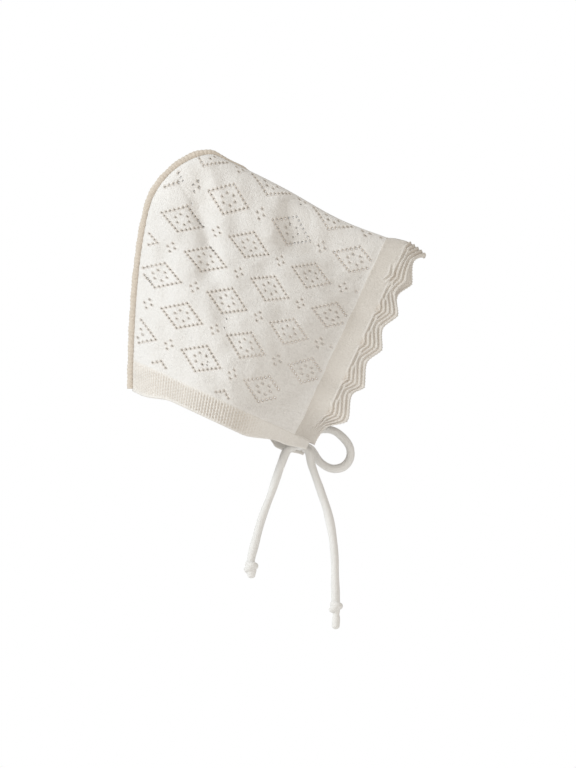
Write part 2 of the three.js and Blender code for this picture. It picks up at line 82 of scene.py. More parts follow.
# Fine wrinkles of the lace, in the same columns
WRINKLES = (
    (-162, 128, -121, 90, 4, -1.6),
    (-148, 141, -108, 96, 5, 1.3),
    (-84, 143, -68, 117, 7, -2.6),
    (-98, 138, -84, 112, 6, 1.5),
    (-128, 84, -92, 96, 5, 1),
    (-140, 112, -120, 104, 4, 1),
    (-104, 64, -84, 40, 6, -1.1),
    (-70, 96, -48, 74, 6, 1),
    (-33, 60, -54, 28, 5, -1.2),
    (-46, 68, -66, 40, 6, 0.9),
    (-158, 62, -140, 34, 4, -1),
    (-134, 40, -118, 12, 6, 1.1),
    (-152, 20, -132, 16, 3, -1.1),
    (-96, 24, -78, 10, 6, -1),
)

# Knitting: one row along the bonnet, one stitch across it, the wall it makes and its fine ribs
KNIT = {"row": 1.177, "stitch": 1.47, "wall": 1.6, "rib": 0.22}
HOOD_FRONT = GROOVE_X - 0.15
HOOD_LOW = 0.15
HOOD_ROWS = 138
HOOD_STITCHES = 107

# How rows and stitches lie on the hood: a stretched middle, a drop toward the back, a lean over
# the height and a sag under the saddle
SWELL = {"forward": 3.2, "up": 3.5, "span": 150.0}
WALE_DROP = {"slope": 0.07, "within": 40.0}
ROW_LEAN = {"slope": 0.045, "about_z": 84.0, "within": 30.0}
LACE_SAG = {"depth": 1.8, "x": -70.0, "half_span": 55.0, "within": 25.0}
SETTLING_ROUNDS = 14

# Lace: lozenges in half-drop columns, how far each kind of open stitch is drawn in, and the plain
# front corner
LOZENGE = {"first_row": 11, "first_stitch": 16, "rows": 20, "stitches": 14}
DRAWN_IN = {"ring": 0.5, "inside": 0.66, "between": 0.62, "middle_share": 0.6}
# Painted shade on each open stitch's rim, for the dark inside seen through it
EYELET_PAINTED_SHADE = 0.45
PLAIN_CORNER = {"x": -41.0, "z": 25.0}
PLAIN_MARGIN = {"seam": 2.0, "neck": 3.0}

# Crumpling of the lace: its heights, and the lengths that set its waves
CRUMPLE = {"stitch": 0.1, "fine": 0.38, "soft": 0.5, "full_at": 8.0}
FINE_WAVE = {"x": 3.1, "z": 4.3, "bend_x": 9.0, "bend_z": 7.0}
SOFT_WAVE = {"x": 6.3, "z": 8.1, "cross_x": 23.0, "cross_z": 9.7}
RELIEF_FADE = {"neck": 3.0, "seam": 4.0, "front": 3.5, "front_start": -0.5}


def smoothstep(value, low, high):
    """Zero below low, one above high, and a smooth S between them."""
    t = np.clip((value - low) / (high - low), 0.0, 1.0)
    return t * t * (3.0 - 2.0 * t)


def bell(value, centre, half_width):
    """A smooth hump of height one."""
    return np.exp(-(((value - centre) / half_width) ** 2))


def along_table(rows, at):
    """A smooth curve through (place, value) rows: a cubic per stretch with its neighbours' slopes."""
    place, value = np.array(rows, float).T
    last = len(place) - 1
    step = np.arange(last + 1)
    before = np.maximum(step - 1, 0)
    after = np.minimum(step + 1, last)
    slope = (value[after] - value[before]) / (place[after] - place[before])
    at = np.clip(at, place[0], place[-1])
    k = np.clip(np.searchsorted(place, at) - 1, 0, last - 1)
    span = place[k + 1] - place[k]
    t = (at - place[k]) / span
    rise = t * t * (3.0 - 2.0 * t)
    bend = t * (1.0 - t) ** 2 * slope[k] - t * t * (1.0 - t) * slope[k + 1]
    return (1.0 - rise) * value[k] + rise * value[k + 1] + span * bend


def tipped(x, z):
    """Level x and z turned forward about the lower front corner."""
    turned_x = x * np.cos(WORN_TILT) + z * np.sin(WORN_TILT)
    turned_z = z * np.cos(WORN_TILT) - x * np.sin(WORN_TILT)
    return turned_x, turned_z


SEAT_X, SEAT_Z = tipped(HEAD_SEAT["x"], HEAD_SEAT["z"])


def worn(x, y, z):
    """Points in the shared frame, in metres, from arrays of level coordinates."""
    turned_x, turned_z = tipped(x, z)
    placed = np.broadcast_arrays(turned_x - SEAT_X, y, turned_z - SEAT_Z)
    return np.stack(placed, axis=-1) * MM


def hung(points):
    """Points in the shared frame, in metres, from rows of points in the tipped frame."""
    return (np.asarray(points, float) - (SEAT_X, 0.0, SEAT_Z)) * MM


def ridge_height(x):
    """The top outline: level, with a shallow saddle."""
    away = (np.maximum(x, CROWN["corner_x"]) - SADDLE["x"]) / SADDLE["half_length"]
    return FACE_HEIGHT - SADDLE["dip"] * np.exp(-away * away)


def back_line(z):
    """The back outline: a round crown corner above, and a curve forward to the nape below."""
    widest = CROWN["corner_x"] - CROWN["bulge"]
    up = np.clip((z - CROWN["widest_z"]) / (FACE_HEIGHT - CROWN["widest_z"]), 0.0, 1.0)
    down = np.maximum(CROWN["widest_z"] - z, 0.0) / (CROWN["widest_z"] - NAPE["z"])
    crown = CROWN["corner_x"] - CROWN["bulge"] * (1.0 - up * up) ** (2.0 / 3.0)
    return np.where(z > CROWN["widest_z"], crown, widest + NAPE["forward"] * down ** NAPE["curve"])


def fold_relief(x, z, folds=FOLDS):
    """Outward relief: the sum of soft ridges and valleys, each along a line in the side view."""
    rise = 0.0
    for from_x, from_z, to_x, to_z, half_width, height in folds:
        line_x = to_x - from_x
        line_z = to_z - from_z
        along = ((x - from_x) * line_x + (z - from_z) * line_z) / (line_x**2 + line_z**2)
        t = np.clip(along, 0.0, 1.0)
        away = (x - from_x - line_x * t) ** 2 + (z - from_z - line_z * t) ** 2
        rise = rise + height * np.exp(-away / half_width**2)
    return rise


def half_width(x, z, inset=0.0):
    """Half width at a place in the side view, or that of a surface which lies inset within it.

    The plain width is a product of two tables. Folds are added, and near the ridge and the seam
    the sheet turns over in a crease: the square root of width squared plus a growing gap.
    """
    ridge_gap = np.maximum(ridge_height(x) - z, 0.0)
    back_gap = np.maximum(x - back_line(z), 0.0)
    down = ridge_gap / (ridge_height(x) + BAND["height"])
    back = (GROOVE_X - x) / (GROOVE_X - back_line(z))
    chin = ((x - CHIN["x"]) ** 2 + (z - CHIN["z"]) ** 2) / CHIN["half_size"] ** 2
    drawn = 1.0 - CHIN["draw_in"] * np.exp(-chin)
    plain = HALF_WIDTH * drawn * along_table(ACROSS, down) * along_table(LENGTHWAYS, back)
    body = plain + (fold_relief(x, z) - inset) * np.minimum(plain / 12.0, 1.0)
    ridge_gap = np.maximum(ridge_gap - inset, 0.0)
    back_gap = np.maximum(back_gap - inset, 0.0)
    gap = ridge_gap * back_gap / np.maximum(ridge_gap + back_gap, 1e-9)
    crease = 2.0 * CREASE["radius"] * CREASE["reach"] * (1.0 - np.exp(-gap / CREASE["reach"]))
    return np.where(gap > 1e-4, np.sqrt(body**2 + crease), 0.0)


def unit(vectors):
    """Vectors along the last axis at length one."""
    return vectors / np.maximum(np.linalg.norm(vectors, axis=-1, keepdims=True), 1e-12)


def spline(points, spacing):
    """A smooth line through the points, as evenly spaced places: centripetal cubic stretches."""
    points = np.asarray(points, float)
    first = 2.0 * points[0] - points[1]
    last = 2.0 * points[-1] - points[-2]
    whole = np.vstack([first, points, last])
    knots = np.concatenate([[0.0], np.cumsum(np.linalg.norm(np.diff(whole, axis=0), axis=1) ** 0.5)])
    slope = np.gradient(whole, knots, axis=0)
    fine = np.linspace(knots[1], knots[-2], 60 * len(points))
    k = np.clip(np.searchsorted(knots, fine) - 1, 1, len(points) - 1)
    span = (knots[k + 1] - knots[k])[:, None]
    t = (fine[:, None] - knots[k][:, None]) / span
    rise = t * t * (3.0 - 2.0 * t)
    bend = t * (1.0 - t) ** 2 * slope[k] - t * t * (1.0 - t) * slope[k + 1]
    line = (1.0 - rise) * whole[k] + rise * whole[k + 1] + span * bend
    return evenly(line, spacing)


def evenly(line, spacing):
    """The same line with its places spaced evenly along its length."""
    length = np.concatenate([[0.0], np.cumsum(np.linalg.norm(np.diff(line, axis=0), axis=1))])
    at = np.linspace(0.0, length[-1], max(int(round(length[-1] / spacing)), 2) + 1)
    return np.stack([np.interp(at, length, line[:, axis]) for axis in range(line.shape[1])], axis=1)


def lengths_along(line):
    """Distance from the line's start to each of its places."""
    return np.concatenate([[0.0], np.cumsum(np.linalg.norm(np.diff(line, axis=0), axis=1))])


# Meshes


def put_mesh(name, points, quads, corners, tris=None, tri_corners=None, painted_shade=None):
    """A closed mesh from whole arrays, with a UV per face corner, its doubles merged and its
    faces turned outward by the sign of its volume. The last argument says, from 0 to 1, how deep
    each point lies between stitches or in a groove, and so how much painted shade darkens it."""
    tris = np.zeros((0, 3), int) if tris is None else tris
    tri_corners = np.zeros((0, 3, 2)) if tri_corners is None else tri_corners
    loops = np.concatenate([quads.ravel(), tris.ravel()])
    sizes = np.concatenate([np.full(len(quads), 4), np.full(len(tris), 3)])
    mesh = bpy.data.meshes.new(name)
    mesh.vertices.add(len(points))
    mesh.vertices.foreach_set("co", points.astype(np.float32).ravel())
    mesh.loops.add(len(loops))
    mesh.loops.foreach_set("vertex_index", loops.astype(np.int32))
    mesh.polygons.add(len(sizes))
    starts = np.concatenate([[0], np.cumsum(sizes)[:-1]])
    mesh.polygons.foreach_set("loop_start", starts.astype(np.int32))
    layer = mesh.uv_layers.new(name="stitches")
    flat = np.concatenate([corners.reshape(-1, 2), tri_corners.reshape(-1, 2)])
    layer.uv.foreach_set("vector", flat.astype(np.float32).ravel())
    if painted_shade is not None:
        depth = mesh.attributes.new("painted_shade", "FLOAT", "POINT")
        depth.data.foreach_set("value", np.clip(painted_shade, 0.0, 1.0).astype(np.float32).ravel())
    mesh.update(calc_edges=True)
    whole = bmesh.new()
    whole.from_mesh(mesh)
    bmesh.ops.remove_doubles(whole, verts=whole.verts, dist=0.004 * MM)
    loose = [vertex for vertex in whole.verts if not vertex.link_faces]
    bmesh.ops.delete(whole, geom=loose, context="VERTS")
    if whole.calc_volume(signed=True) < 0.0:
        bmesh.ops.reverse_faces(whole, faces=whole.faces)
    whole.to_mesh(mesh)
    whole.free()
    mesh.shade_smooth()
    piece = bpy.data.objects.new(name, mesh)
    bpy.context.scene.collection.objects.link(piece)
    return piece


def ring_faces(sections, around, along, ends="folded"):
    """Faces of rings carried along a path. Rings are closed, and an end is folded shut by quads
    between its two sides, which needs an even ring. With ends="joined" the last ring meets the
    first."""
    count, ring = sections.shape[:2]
    spans = count if ends == "joined" else count - 1
    i, j = np.meshgrid(np.arange(spans), np.arange(ring), indexing="ij")
    corner_i = np.stack([i, i, i + 1, i + 1], axis=-1).reshape(-1, 4)
    corner_j = np.stack([j, j + 1, j + 1, j], axis=-1).reshape(-1, 4)
    quads = (corner_i % count) * ring + corner_j % ring
    uv = np.stack([along[corner_i], around[corner_j]], axis=-1)
    if ends == "joined":
        return quads, uv
    k = np.arange((ring - 1) // 2)
    fold = np.stack([k, ring - 1 - k, ring - 2 - k, k + 1], axis=-1)
    last = (count - 1) * ring + fold[:, ::-1]
    caps = np.concatenate([fold, last])
    cap_along = np.repeat([along[0], along[-1]], len(k))[:, None] * np.ones(4)
    cap_uv = np.stack([cap_along, around[np.concatenate([fold, fold[:, ::-1]])]], axis=-1)
    return np.concatenate([quads, caps]), np.concatenate([uv, cap_uv])


def path_frames(line, start_side):
    """Two directions square to a line, all along it. The side is carried from place to place with
    the least turn, so a tube doesn't twist."""
    tangents = unit(np.gradient(line, axis=0))
    side = np.asarray(start_side, float)
    sides = []
    for tangent in tangents:
        side = side - tangent * (side @ tangent)
        side = side / np.linalg.norm(side)
        sides.append(side)
    sides = np.array(sides)
    return sides, np.cross(tangents, sides)


def tube_sections(line, radius, ring, start_side, relief=None):
    """Rings round a line: centre plus radius times cosine and sine of the turn, each on one of the
    two square directions. relief is added to the radius."""
    sides, ups = path_frames(line, start_side)
    turn = np.linspace(0.0, 2.0 * np.pi, ring, endpoint=False)
    reach = np.broadcast_to(np.asarray(radius, float).reshape(-1, 1), (len(line), ring))
    if relief is not None:
        reach = reach + relief
    across = np.cos(turn)[None, :, None] * sides[:, None, :]
    upward = np.sin(turn)[None, :, None] * ups[:, None, :]
    return line[:, None, :] + reach[..., None] * (across + upward)


# Materials


class Value:
    """A shader number. Python's operators on it add Math nodes to its material."""

    def __init__(self, maker, socket):
        self.maker = maker
        self.socket = socket

    def math(self, operation, *others):
        return self.maker.math(operation, self, *others)

    def __add__(self, other):
        return self.math("ADD", other)

    def __radd__(self, other):
        return self.math("ADD", other)

    def __sub__(self, other):
        return self.math("SUBTRACT", other)

    def __rsub__(self, other):
        return self.maker.math("SUBTRACT", other, self)

    def __mul__(self, other):
        return self.math("MULTIPLY", other)

    def __rmul__(self, other):
        return self.math("MULTIPLY", other)

    def __pow__(self, other):
        return self.math("POWER", other)


class Cloth:
    """One knitted finish: a material, its nodes and the shader they feed."""

    def __init__(self, name, roughness, sheen):
        self.material = bpy.data.materials.new(name)
        self.material.use_nodes = True
        self.tree = self.material.node_tree
        self.shader = self.tree.nodes["Principled BSDF"]
        self.shader.inputs["Roughness"].default_value = roughness
        self.shader.inputs["Sheen Weight"].default_value = sheen
        self.shader.inputs["Sheen Roughness"].default_value = 0.5
        self.shader.inputs["Specular IOR Level"].default_value = 0.2

    def node(self, kind, settings=None, inputs=None, output=0):
        """Adds a node: its settings are set first, then the values or links of its sockets."""
        made = self.tree.nodes.new(kind)
        for key, value in (settings or {}).items():
            setattr(made, key, value)
        for key, value in (inputs or {}).items():
            if isinstance(value, Value):
                self.tree.links.new(value.socket, made.inputs[key])
            else:
                made.inputs[key].default_value = value
        return Value(self, made.outputs[output])

    def math(self, operation, *values):
        inputs = dict(enumerate(values))
        return self.node("ShaderNodeMath", {"operation": operation}, inputs)

    def feed(self, name, value):
        self.tree.links.new(value.socket, self.shader.inputs[name])

    def stitch_places(self):
        """The piece's UV in rows and stitches."""
        uv = self.node("ShaderNodeUVMap", {"uv_map": "stitches"})
        along = self.node("ShaderNodeSeparateXYZ", inputs={0: uv}, output=0)
        across = self.node("ShaderNodeSeparateXYZ", inputs={0: uv}, output=1)
        return along, across

    def noise(self, scale, detail=3.0):
        """Soft noise in the piece's own space, from 0 to 1, with scale in waves a metre."""
        place = self.node("ShaderNodeTexCoord", output=3)
        inputs = {"Vector": place, "Scale": scale, "Detail": detail, "Roughness": 0.6}
        return self.node("ShaderNodeTexNoise", inputs=inputs)

    def blend(self, factor, first, second):
        """A colour between two, by a factor from 0 to 1."""
        settings = {"data_type": "RGBA"}
        inputs = {0: factor, 6: first, 7: second}
        return self.node("ShaderNodeMix", settings, inputs, output=2)

    def finish(self, height, distance):
        """Feeds the bump from a height from 0 to 1 and returns the material."""
        inputs = {"Height": height, "Distance": distance, "Strength": 1.0}
        self.feed("Normal", self.node("ShaderNodeBump", inputs=inputs))
        return self.material


# Knitted finishes: the slant and roundness of a stitch's legs, noises in waves a metre, and how
# much each of them adds to the colour and to the bump
LEG_SLANT = 0.9
LEG_ROUNDNESS = 0.6
NOISE = {"fuzz": 1400.0, "mottle": 620.0, "cloud": 30.0}
TONE = {"stitch": 0.4, "fuzz": 0.25, "mottle": 0.8, "cloud": 0.4, "lower": 0.45}
BUMP = {"stitch": 0.5, "mottle": 1.3, "fuzz": 0.3}
# A brown painted shade, blended in where a point lies deep between stitches or in a groove
PAINTED_SHADE_COLOUR = (0.5, 0.4, 0.3, 1.0)


def knit_height(along, across):
    """Rows of V stitches: each stitch is two leaning legs, round across and along."""
    from_middle = (across.math("FRACT") - 0.5).math("ABSOLUTE") * 2.0
    leg = ((across * 2.0).math("FRACT") * np.pi).math("SINE")
    row = ((along + from_middle * LEG_SLANT).math("FRACT") * np.pi).math("SINE")
    return (leg * row + 0.0001) ** LEG_ROUNDNESS


def knitted(name, light, shade, depth=0.45, sheen=0.2):
    """Cream knit: V stitches in bump, uneven from stitch to stitch, with painted shade between
    them and a brown painted shade in the deep places and grooves, and soft cloudy variation."""
    cloth = Cloth(name, 0.92, sheen)
    along, across = cloth.stitch_places()
    stitch = knit_height(along, across)
    fuzz = cloth.noise(NOISE["fuzz"])
    mottle = cloth.noise(NOISE["mottle"], 2.0)
    cloud = cloth.noise(NOISE["cloud"], 2.0)
    # The stitch term is painted shade: darker between the legs of each stitch and lighter on them. Fuzz,
    # mottle and cloud are random tone.
    tone = stitch * TONE["stitch"] + fuzz * TONE["fuzz"]
    tone = tone + mottle * TONE["mottle"] + cloud * TONE["cloud"] - TONE["lower"]
    tone = tone.math("MINIMUM", 1.0).math("MAXIMUM", 0.0)
    plain = cloth.blend(tone, (*shade, 1.0), (*light, 1.0))
    # Painted shade: each point's depth amount blends the colour toward the brown shade colour
    painted_shade = cloth.node("ShaderNodeAttribute", {"attribute_name": "painted_shade"}, output=2)
    cloth.feed("Base Color", cloth.blend(painted_shade, plain, PAINTED_SHADE_COLOUR))
    height = stitch * BUMP["stitch"] + mottle * BUMP["mottle"] + fuzz * BUMP["fuzz"]
    return cloth.finish(height, depth * MM)


LACE = knitted("lace_cream", (0.88, 0.865, 0.85), (0.74, 0.715, 0.685))
# The brim's cream is darker than the lace's: painted shade for a brim turned away from the light
BRIM_KNIT_PAINTED_SHADE = knitted("brim_cream_painted_shade", (0.72, 0.685, 0.645), (0.61, 0.57, 0.52), depth=0.3)
RIB = knitted("rib_cream", (0.85, 0.825, 0.795), (0.71, 0.68, 0.64), depth=0.3)
# The back seam's beige is painted shade on cream yarn, for a welt that lies in shade
SEAM_KNIT_PAINTED_SHADE = knitted("seam_cream_painted_shade", (0.7, 0.635, 0.56), (0.58, 0.51, 0.43), depth=0.3)
CORD = knitted("cord_white", (0.8, 0.795, 0.785), (0.7, 0.69, 0.675), depth=0.15, sheen=0.1)


# Camera: level, square to the near side, 518.4 mm from top to bottom of the picture
VIEW = {"x": -0.0029, "z": -0.1178, "height": 0.5184, "distance": 6.0, "near_side": -0.02}


def make_camera():
    """A level camera whose picture is VIEW's height at the near side of the bonnet."""
    data = bpy.data.cameras.new("camera")
    data.sensor_fit = "VERTICAL"
    data.sensor_height = 36.0
    data.sensor_width = 36.0
    data.lens = data.sensor_height * VIEW["distance"] / VIEW["height"]
    camera = bpy.data.objects.new("camera", data)
    camera.location = (VIEW["x"], VIEW["near_side"] - VIEW["distance"], VIEW["z"])
    camera.rotation_euler = (np.pi / 2.0, 0.0, 0.0)
    bpy.context.scene.collection.objects.link(camera)
    bpy.context.scene.camera = camera


# Cords, in the tipped frame, from the lower front corner. A waver is its height, length and start
CORD_RADIUS = 2.7
CORD_SPACING = 0.9
CORD_SIDES = 24
CORD_WAVER = ((0.16, 9.0, 0.0), (0.1, 3.7, 1.0))
CORD_WALES = {"count": 12, "height": 0.1}
CORD_ROW = 1.1
BOW_KNOT = np.array((-13.5, 0.0, 3.4))
KNOT_RADIUS = 6.2
KNOT_GAP = 0.3
KNOT_EXIT = 3.5
WRAP_SPACING = 0.5
WRAP_SIDES = 20
STRAP = {"x": -13.5, "z": -3.2, "inside": 1.6}

# The bow's rounds of cord: offset from its centre, axis, ring radius, cord radius, flattening
BOW_ROUNDS = (
    ((0.0, 0.0, 0.0), (0.85, 0.1, 0.55), 3.5, 2.5, 0.9),
    ((0.6, 0.0, -0.4), (-0.25, 0.8, 0.5), 3.2, 2.3, 0.9),
)

# How the cords leave the bow, and their lines
LEFT_EXIT = (-0.85, -0.1, -0.5)
RIGHT_EXIT = (0.62, -0.45, -0.64)
LOOP_START = (0.55, 0.35, 0.76)
LOOP_END = (0.75, 0.5, -0.45)
LEFT_TAIL = (
    (-26.2, -1.5, -11), (-33.1, -2, -31.1), (-39.2, -2, -47.3), (-44.6, -2, -66.8), (-46.7, -2, -75.7),
)
RIGHT_TAIL = (
    (-5.8, -5.4, -10.8), (0, -6, -27.7), (5.1, -6, -43.2), (8.4, -6, -59.1), (10, -6, -74.9),
    (10.3, -6, -91.1), (10.6, -6, -102.8),
)
BOW_LOOP = (
    (0.4, 4, 12.4), (8.8, 3, 11.7), (15.5, 2.6, 7), (20.2, 2.4, 0.2), (20.4, 2.4, -6.8),
    (16.2, 2.4, -12.6), (8.4, 2.6, -14.2), (0.4, 3.6, -10),
)
END_KNOTS = {
    "left": {"at": (-46.7, -2, -80.3), "radius": 4.8, "tip_radius": 3.6, "tip_length": 8.1},
    "right": {"at": (10.7, -6, -107.3), "radius": 4.6, "tip_radius": 2.7, "tip_length": 15.5},
}


def knot_exit(toward):
    """The two places where a cord leaves the bow knot, straight out from its centre."""
    direction = unit(np.array(toward, float))
    first = KNOT_RADIUS + KNOT_GAP
    return BOW_KNOT + direction * first, BOW_KNOT + direction * (first + KNOT_EXIT)


def strap_start(side):
    """Where a tie leaves the neckband at its front corner, on one side."""
    wide = float(half_width(STRAP["x"], STRAP["z"])) - STRAP["inside"]
    x, z = tipped(STRAP["x"], STRAP["z"])
    return np.array((x, side * wide, z))


def make_tie(name, route, replaced):
    """One tie: a knitted tube from the neckband's corner through the bow to its end knot. Its
    radius wavers softly along it, with twelve fine wales round it."""
    line = spline(route, CORD_SPACING)
    along = lengths_along(line)
    turn = np.linspace(0.0, 2.0 * np.pi, CORD_SIDES, endpoint=False)
    waver = sum(height * np.sin(along / wave + start) for height, wave, start in CORD_WAVER)
    relief = CORD_WALES["height"] * np.cos(CORD_WALES["count"] * turn)[None, :] + waver[:, None]
    sections = tube_sections(line, CORD_RADIUS, CORD_SIDES, (1.0, 0.0, 0.2), relief)
    quads, uv = ring_faces(sections, np.arange(CORD_SIDES + 1) / 2.0, along / CORD_ROW)
    piece = put_mesh(name, hung(sections).reshape(-1, 3), quads, uv)
    piece.data.materials.append(CORD)
    path = hung(line)
    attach(piece, "root")
    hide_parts(*replaced)


def wrap_sections(centre, axis, major, minor, flatten):
    """A closed round of cord: a ring of the major radius about the axis, the tube flattened."""
    axis = unit(np.array(axis, float))
    side = unit(np.cross(axis, (0.3, 0.9, 0.2)))
    up = np.cross(axis, side)
    count = int(round(2.0 * np.pi * major / WRAP_SPACING))
    turn = np.linspace(0.0, 2.0 * np.pi, count, endpoint=False)[:, None, None]
    round_tube = np.linspace(0.0, 2.0 * np.pi, WRAP_SIDES, endpoint=False)[None, :, None]
    out = np.cos(turn) * side + np.sin(turn) * up
    reach = major + minor * flatten * np.cos(round_tube)
    return np.asarray(centre, float) + out * reach + axis * minor * np.sin(round_tube)


def join_parts(parts):
    """One set of arrays from several (points, quads, uv) parts."""
    counts = np.cumsum([0] + [len(points) for points, quads, uv in parts])
    points = np.concatenate([part[0] for part in parts])
    quads = np.concatenate([part[1] + first for part, first in zip(parts, counts)])
    return points, quads, np.concatenate([part[2] for part in parts])


def wrap_part(*sizes):
    """The arrays of one closed round of cord."""
    sections = wrap_sections(*sizes)
    along = np.arange(len(sections) + 1) * WRAP_SPACING
    quads, uv = ring_faces(sections, np.arange(WRAP_SIDES + 1) / 2.0, along, ends="joined")
    return hung(sections).reshape(-1, 3), quads, uv


def make_bow_knot():
    """The half bow's knot: two rounds of cord pulled tight across each other."""
    parts = [wrap_part(BOW_KNOT + offset, *sizes) for offset, *sizes in BOW_ROUNDS]
    piece = put_mesh("bow_knot_wraps", *join_parts(parts))
    piece.data.materials.append(CORD)
    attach(piece, "root")
    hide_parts("bow_knot")


def make_end_knot(side):
    """An end knot: two tight rounds about the cord, and the cord's short round-ended tip with a
    waist below the rounds."""
    sizes = END_KNOTS[side]
    centre = np.array(sizes["at"], float)
    wrap_radius = sizes["radius"] * 0.5
    tip = sizes["tip_radius"]
    low = sizes["tip_length"]
    depth = np.linspace(-2.0, low, 40)
    from_end = np.clip((low - depth) / tip, 0.0, 1.0)
    rounded = np.sqrt(np.maximum(1.0 - (1.0 - from_end) ** 2, 0.0004))
    line = centre + np.stack([0.25 * np.sin(depth / 4.0), 0.0 * depth, -depth], axis=1)
    waist = 1.0 - 0.18 * bell(depth, sizes["radius"] + 0.8, 1.6)
    sections = tube_sections(line, tip * rounded * waist, WRAP_SIDES, (1.0, 0.0, 0.0))
    quads, uv = ring_faces(sections, np.arange(WRAP_SIDES + 1) / 2.0, depth)
    parts = [
        (hung(sections).reshape(-1, 3), quads, uv),
        wrap_part(centre + (0.5, 0.0, 0.9), (0.35, 0.15, 1.0), wrap_radius, wrap_radius, 0.95),
        wrap_part(centre + (-0.5, 0.0, -1.1), (-0.45, 0.2, 1.0), wrap_radius, wrap_radius, 0.9),
    ]
    piece = put_mesh(f"end_knot_wraps_{side}", *join_parts(parts))
    piece.data.materials.append(CORD)
    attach(piece, "root")
    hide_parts(f"end_knot_{side}")
    return piece


def make_ties():
    """The near tie runs through the bow into the right tail. The far tie makes the loop and then
    the left tail."""
    knot_left = make_end_knot("left")
    knot_right = make_end_knot("right")
    make_bow_knot()
    near = strap_start(-1)
    far = strap_start(1)
    inside_knot = BOW_KNOT + (1.5, -1.0, -1.5)
    near_route = [near, (near * 2.0 + inside_knot) / 3.0 + (0.0, 0.0, -0.6), inside_knot]
    near_route += [*knot_exit(RIGHT_EXIT), *RIGHT_TAIL, END_KNOTS["right"]["at"]]
    far_route = [far, (far * 2.0 + BOW_KNOT) / 3.0 + (0.0, 0.0, -0.6), BOW_KNOT + (1.0, 1.0, 2.5)]
    far_route += [*knot_exit(LOOP_START), *BOW_LOOP, *knot_exit(LOOP_END)[::-1]]
    far_route += [BOW_KNOT + (-1.0, 0.6, -1.5), *knot_exit(LEFT_EXIT), *LEFT_TAIL]
    far_route += [END_KNOTS["left"]["at"]]
    make_tie("tie_near", near_route, ["strap_near", "tail_right"])
    make_tie("tie_far", far_route, ["strap_far", "bow_loop", "tail_left"])


# Hood


def hood_places(row, stitch):
    """Level x and z of a place in the knitting, by its row back from the groove and its stitch
    down from the ridge. Near the ridge, stitches keep their spacing round the crease. The middle
    is stretched a little forward and up. Wales drop toward the back and sag under the saddle, and
    both stop at the seam and at the neck line."""
    back = row * KNIT["row"]
    over = np.abs(stitch) * KNIT["stitch"]
    down = np.sqrt(over**2 + CREASE["radius"] ** 2) - CREASE["radius"]
    middle = np.sin(np.pi * np.clip(back / SWELL["span"], 0.0, 1.0))
    middle = middle * np.sin(np.pi * np.clip(down / SWELL["span"], 0.0, 1.0))
    back = back - SWELL["forward"] * middle
    down = down - SWELL["up"] * middle
    lower = smoothstep(down, 0.0, WALE_DROP["within"])
    sunk = smoothstep(down, 0.0, LACE_SAG["within"])
    leaning = ROW_LEAN["slope"] * smoothstep(back, 0.0, ROW_LEAN["within"])
    x, z = np.broadcast_arrays(HOOD_FRONT - back, HOOD_FRONT - down)
    for _ in range(SETTLING_ROUNDS):
        z = ridge_height(x) - down - WALE_DROP["slope"] * (HOOD_FRONT - x) * lower
        z = z - LACE_SAG["depth"] * bell(x, LACE_SAG["x"], LACE_SAG["half_span"]) * sunk
        z = np.maximum(z, HOOD_LOW)
        x = np.maximum(HOOD_FRONT - back - leaning * (z - ROW_LEAN["about_z"]), back_line(z))
    return x, z


def lozenge_eyelets(rows, stitches):
    """How far each open stitch is drawn in, and zero where the knitting is closed. Rings have 24
    eyelets two rows and one stitch apart, with six smaller ones inside each ring and four between
    the rings. Rings sit in half-drop columns."""
    ring = [(12 - 2 * k, k) for k in range(7)]
    inside = [(4, 0), (2, 2)]
    between = [(2, 0), (0, 2)]
    signs = np.array([(1, 1), (1, -1), (-1, 1), (-1, -1)])
    column, step = np.meshgrid(np.arange(-1, 9), np.arange(-2, 9), indexing="ij")
    centre = np.stack(
        [
            LOZENGE["first_row"] + column * LOZENGE["rows"],
            LOZENGE["first_stitch"] + step * LOZENGE["stitches"],
        ],
        axis=-1,
    )
    even = (column + step) % 2 == 0
    chart = np.zeros((rows, stitches))
    motifs = (
        (centre[even], ring, DRAWN_IN["ring"]),
        (centre[even], inside, DRAWN_IN["inside"]),
        (centre[~even], between, DRAWN_IN["between"]),
    )
    for centres, offsets, drawn_in in motifs:
        moves = (np.array(offsets)[:, None, :] * signs[None]).reshape(-1, 2)
        cells = (centres[:, None, :] + moves[None]).reshape(-1, 2)
        held = (cells >= 2) & (cells < (rows - 2, stitches - 2))
        cells = cells[held.all(axis=1)]
        chart[cells[:, 0], cells[:, 1]] = drawn_in
    return chart


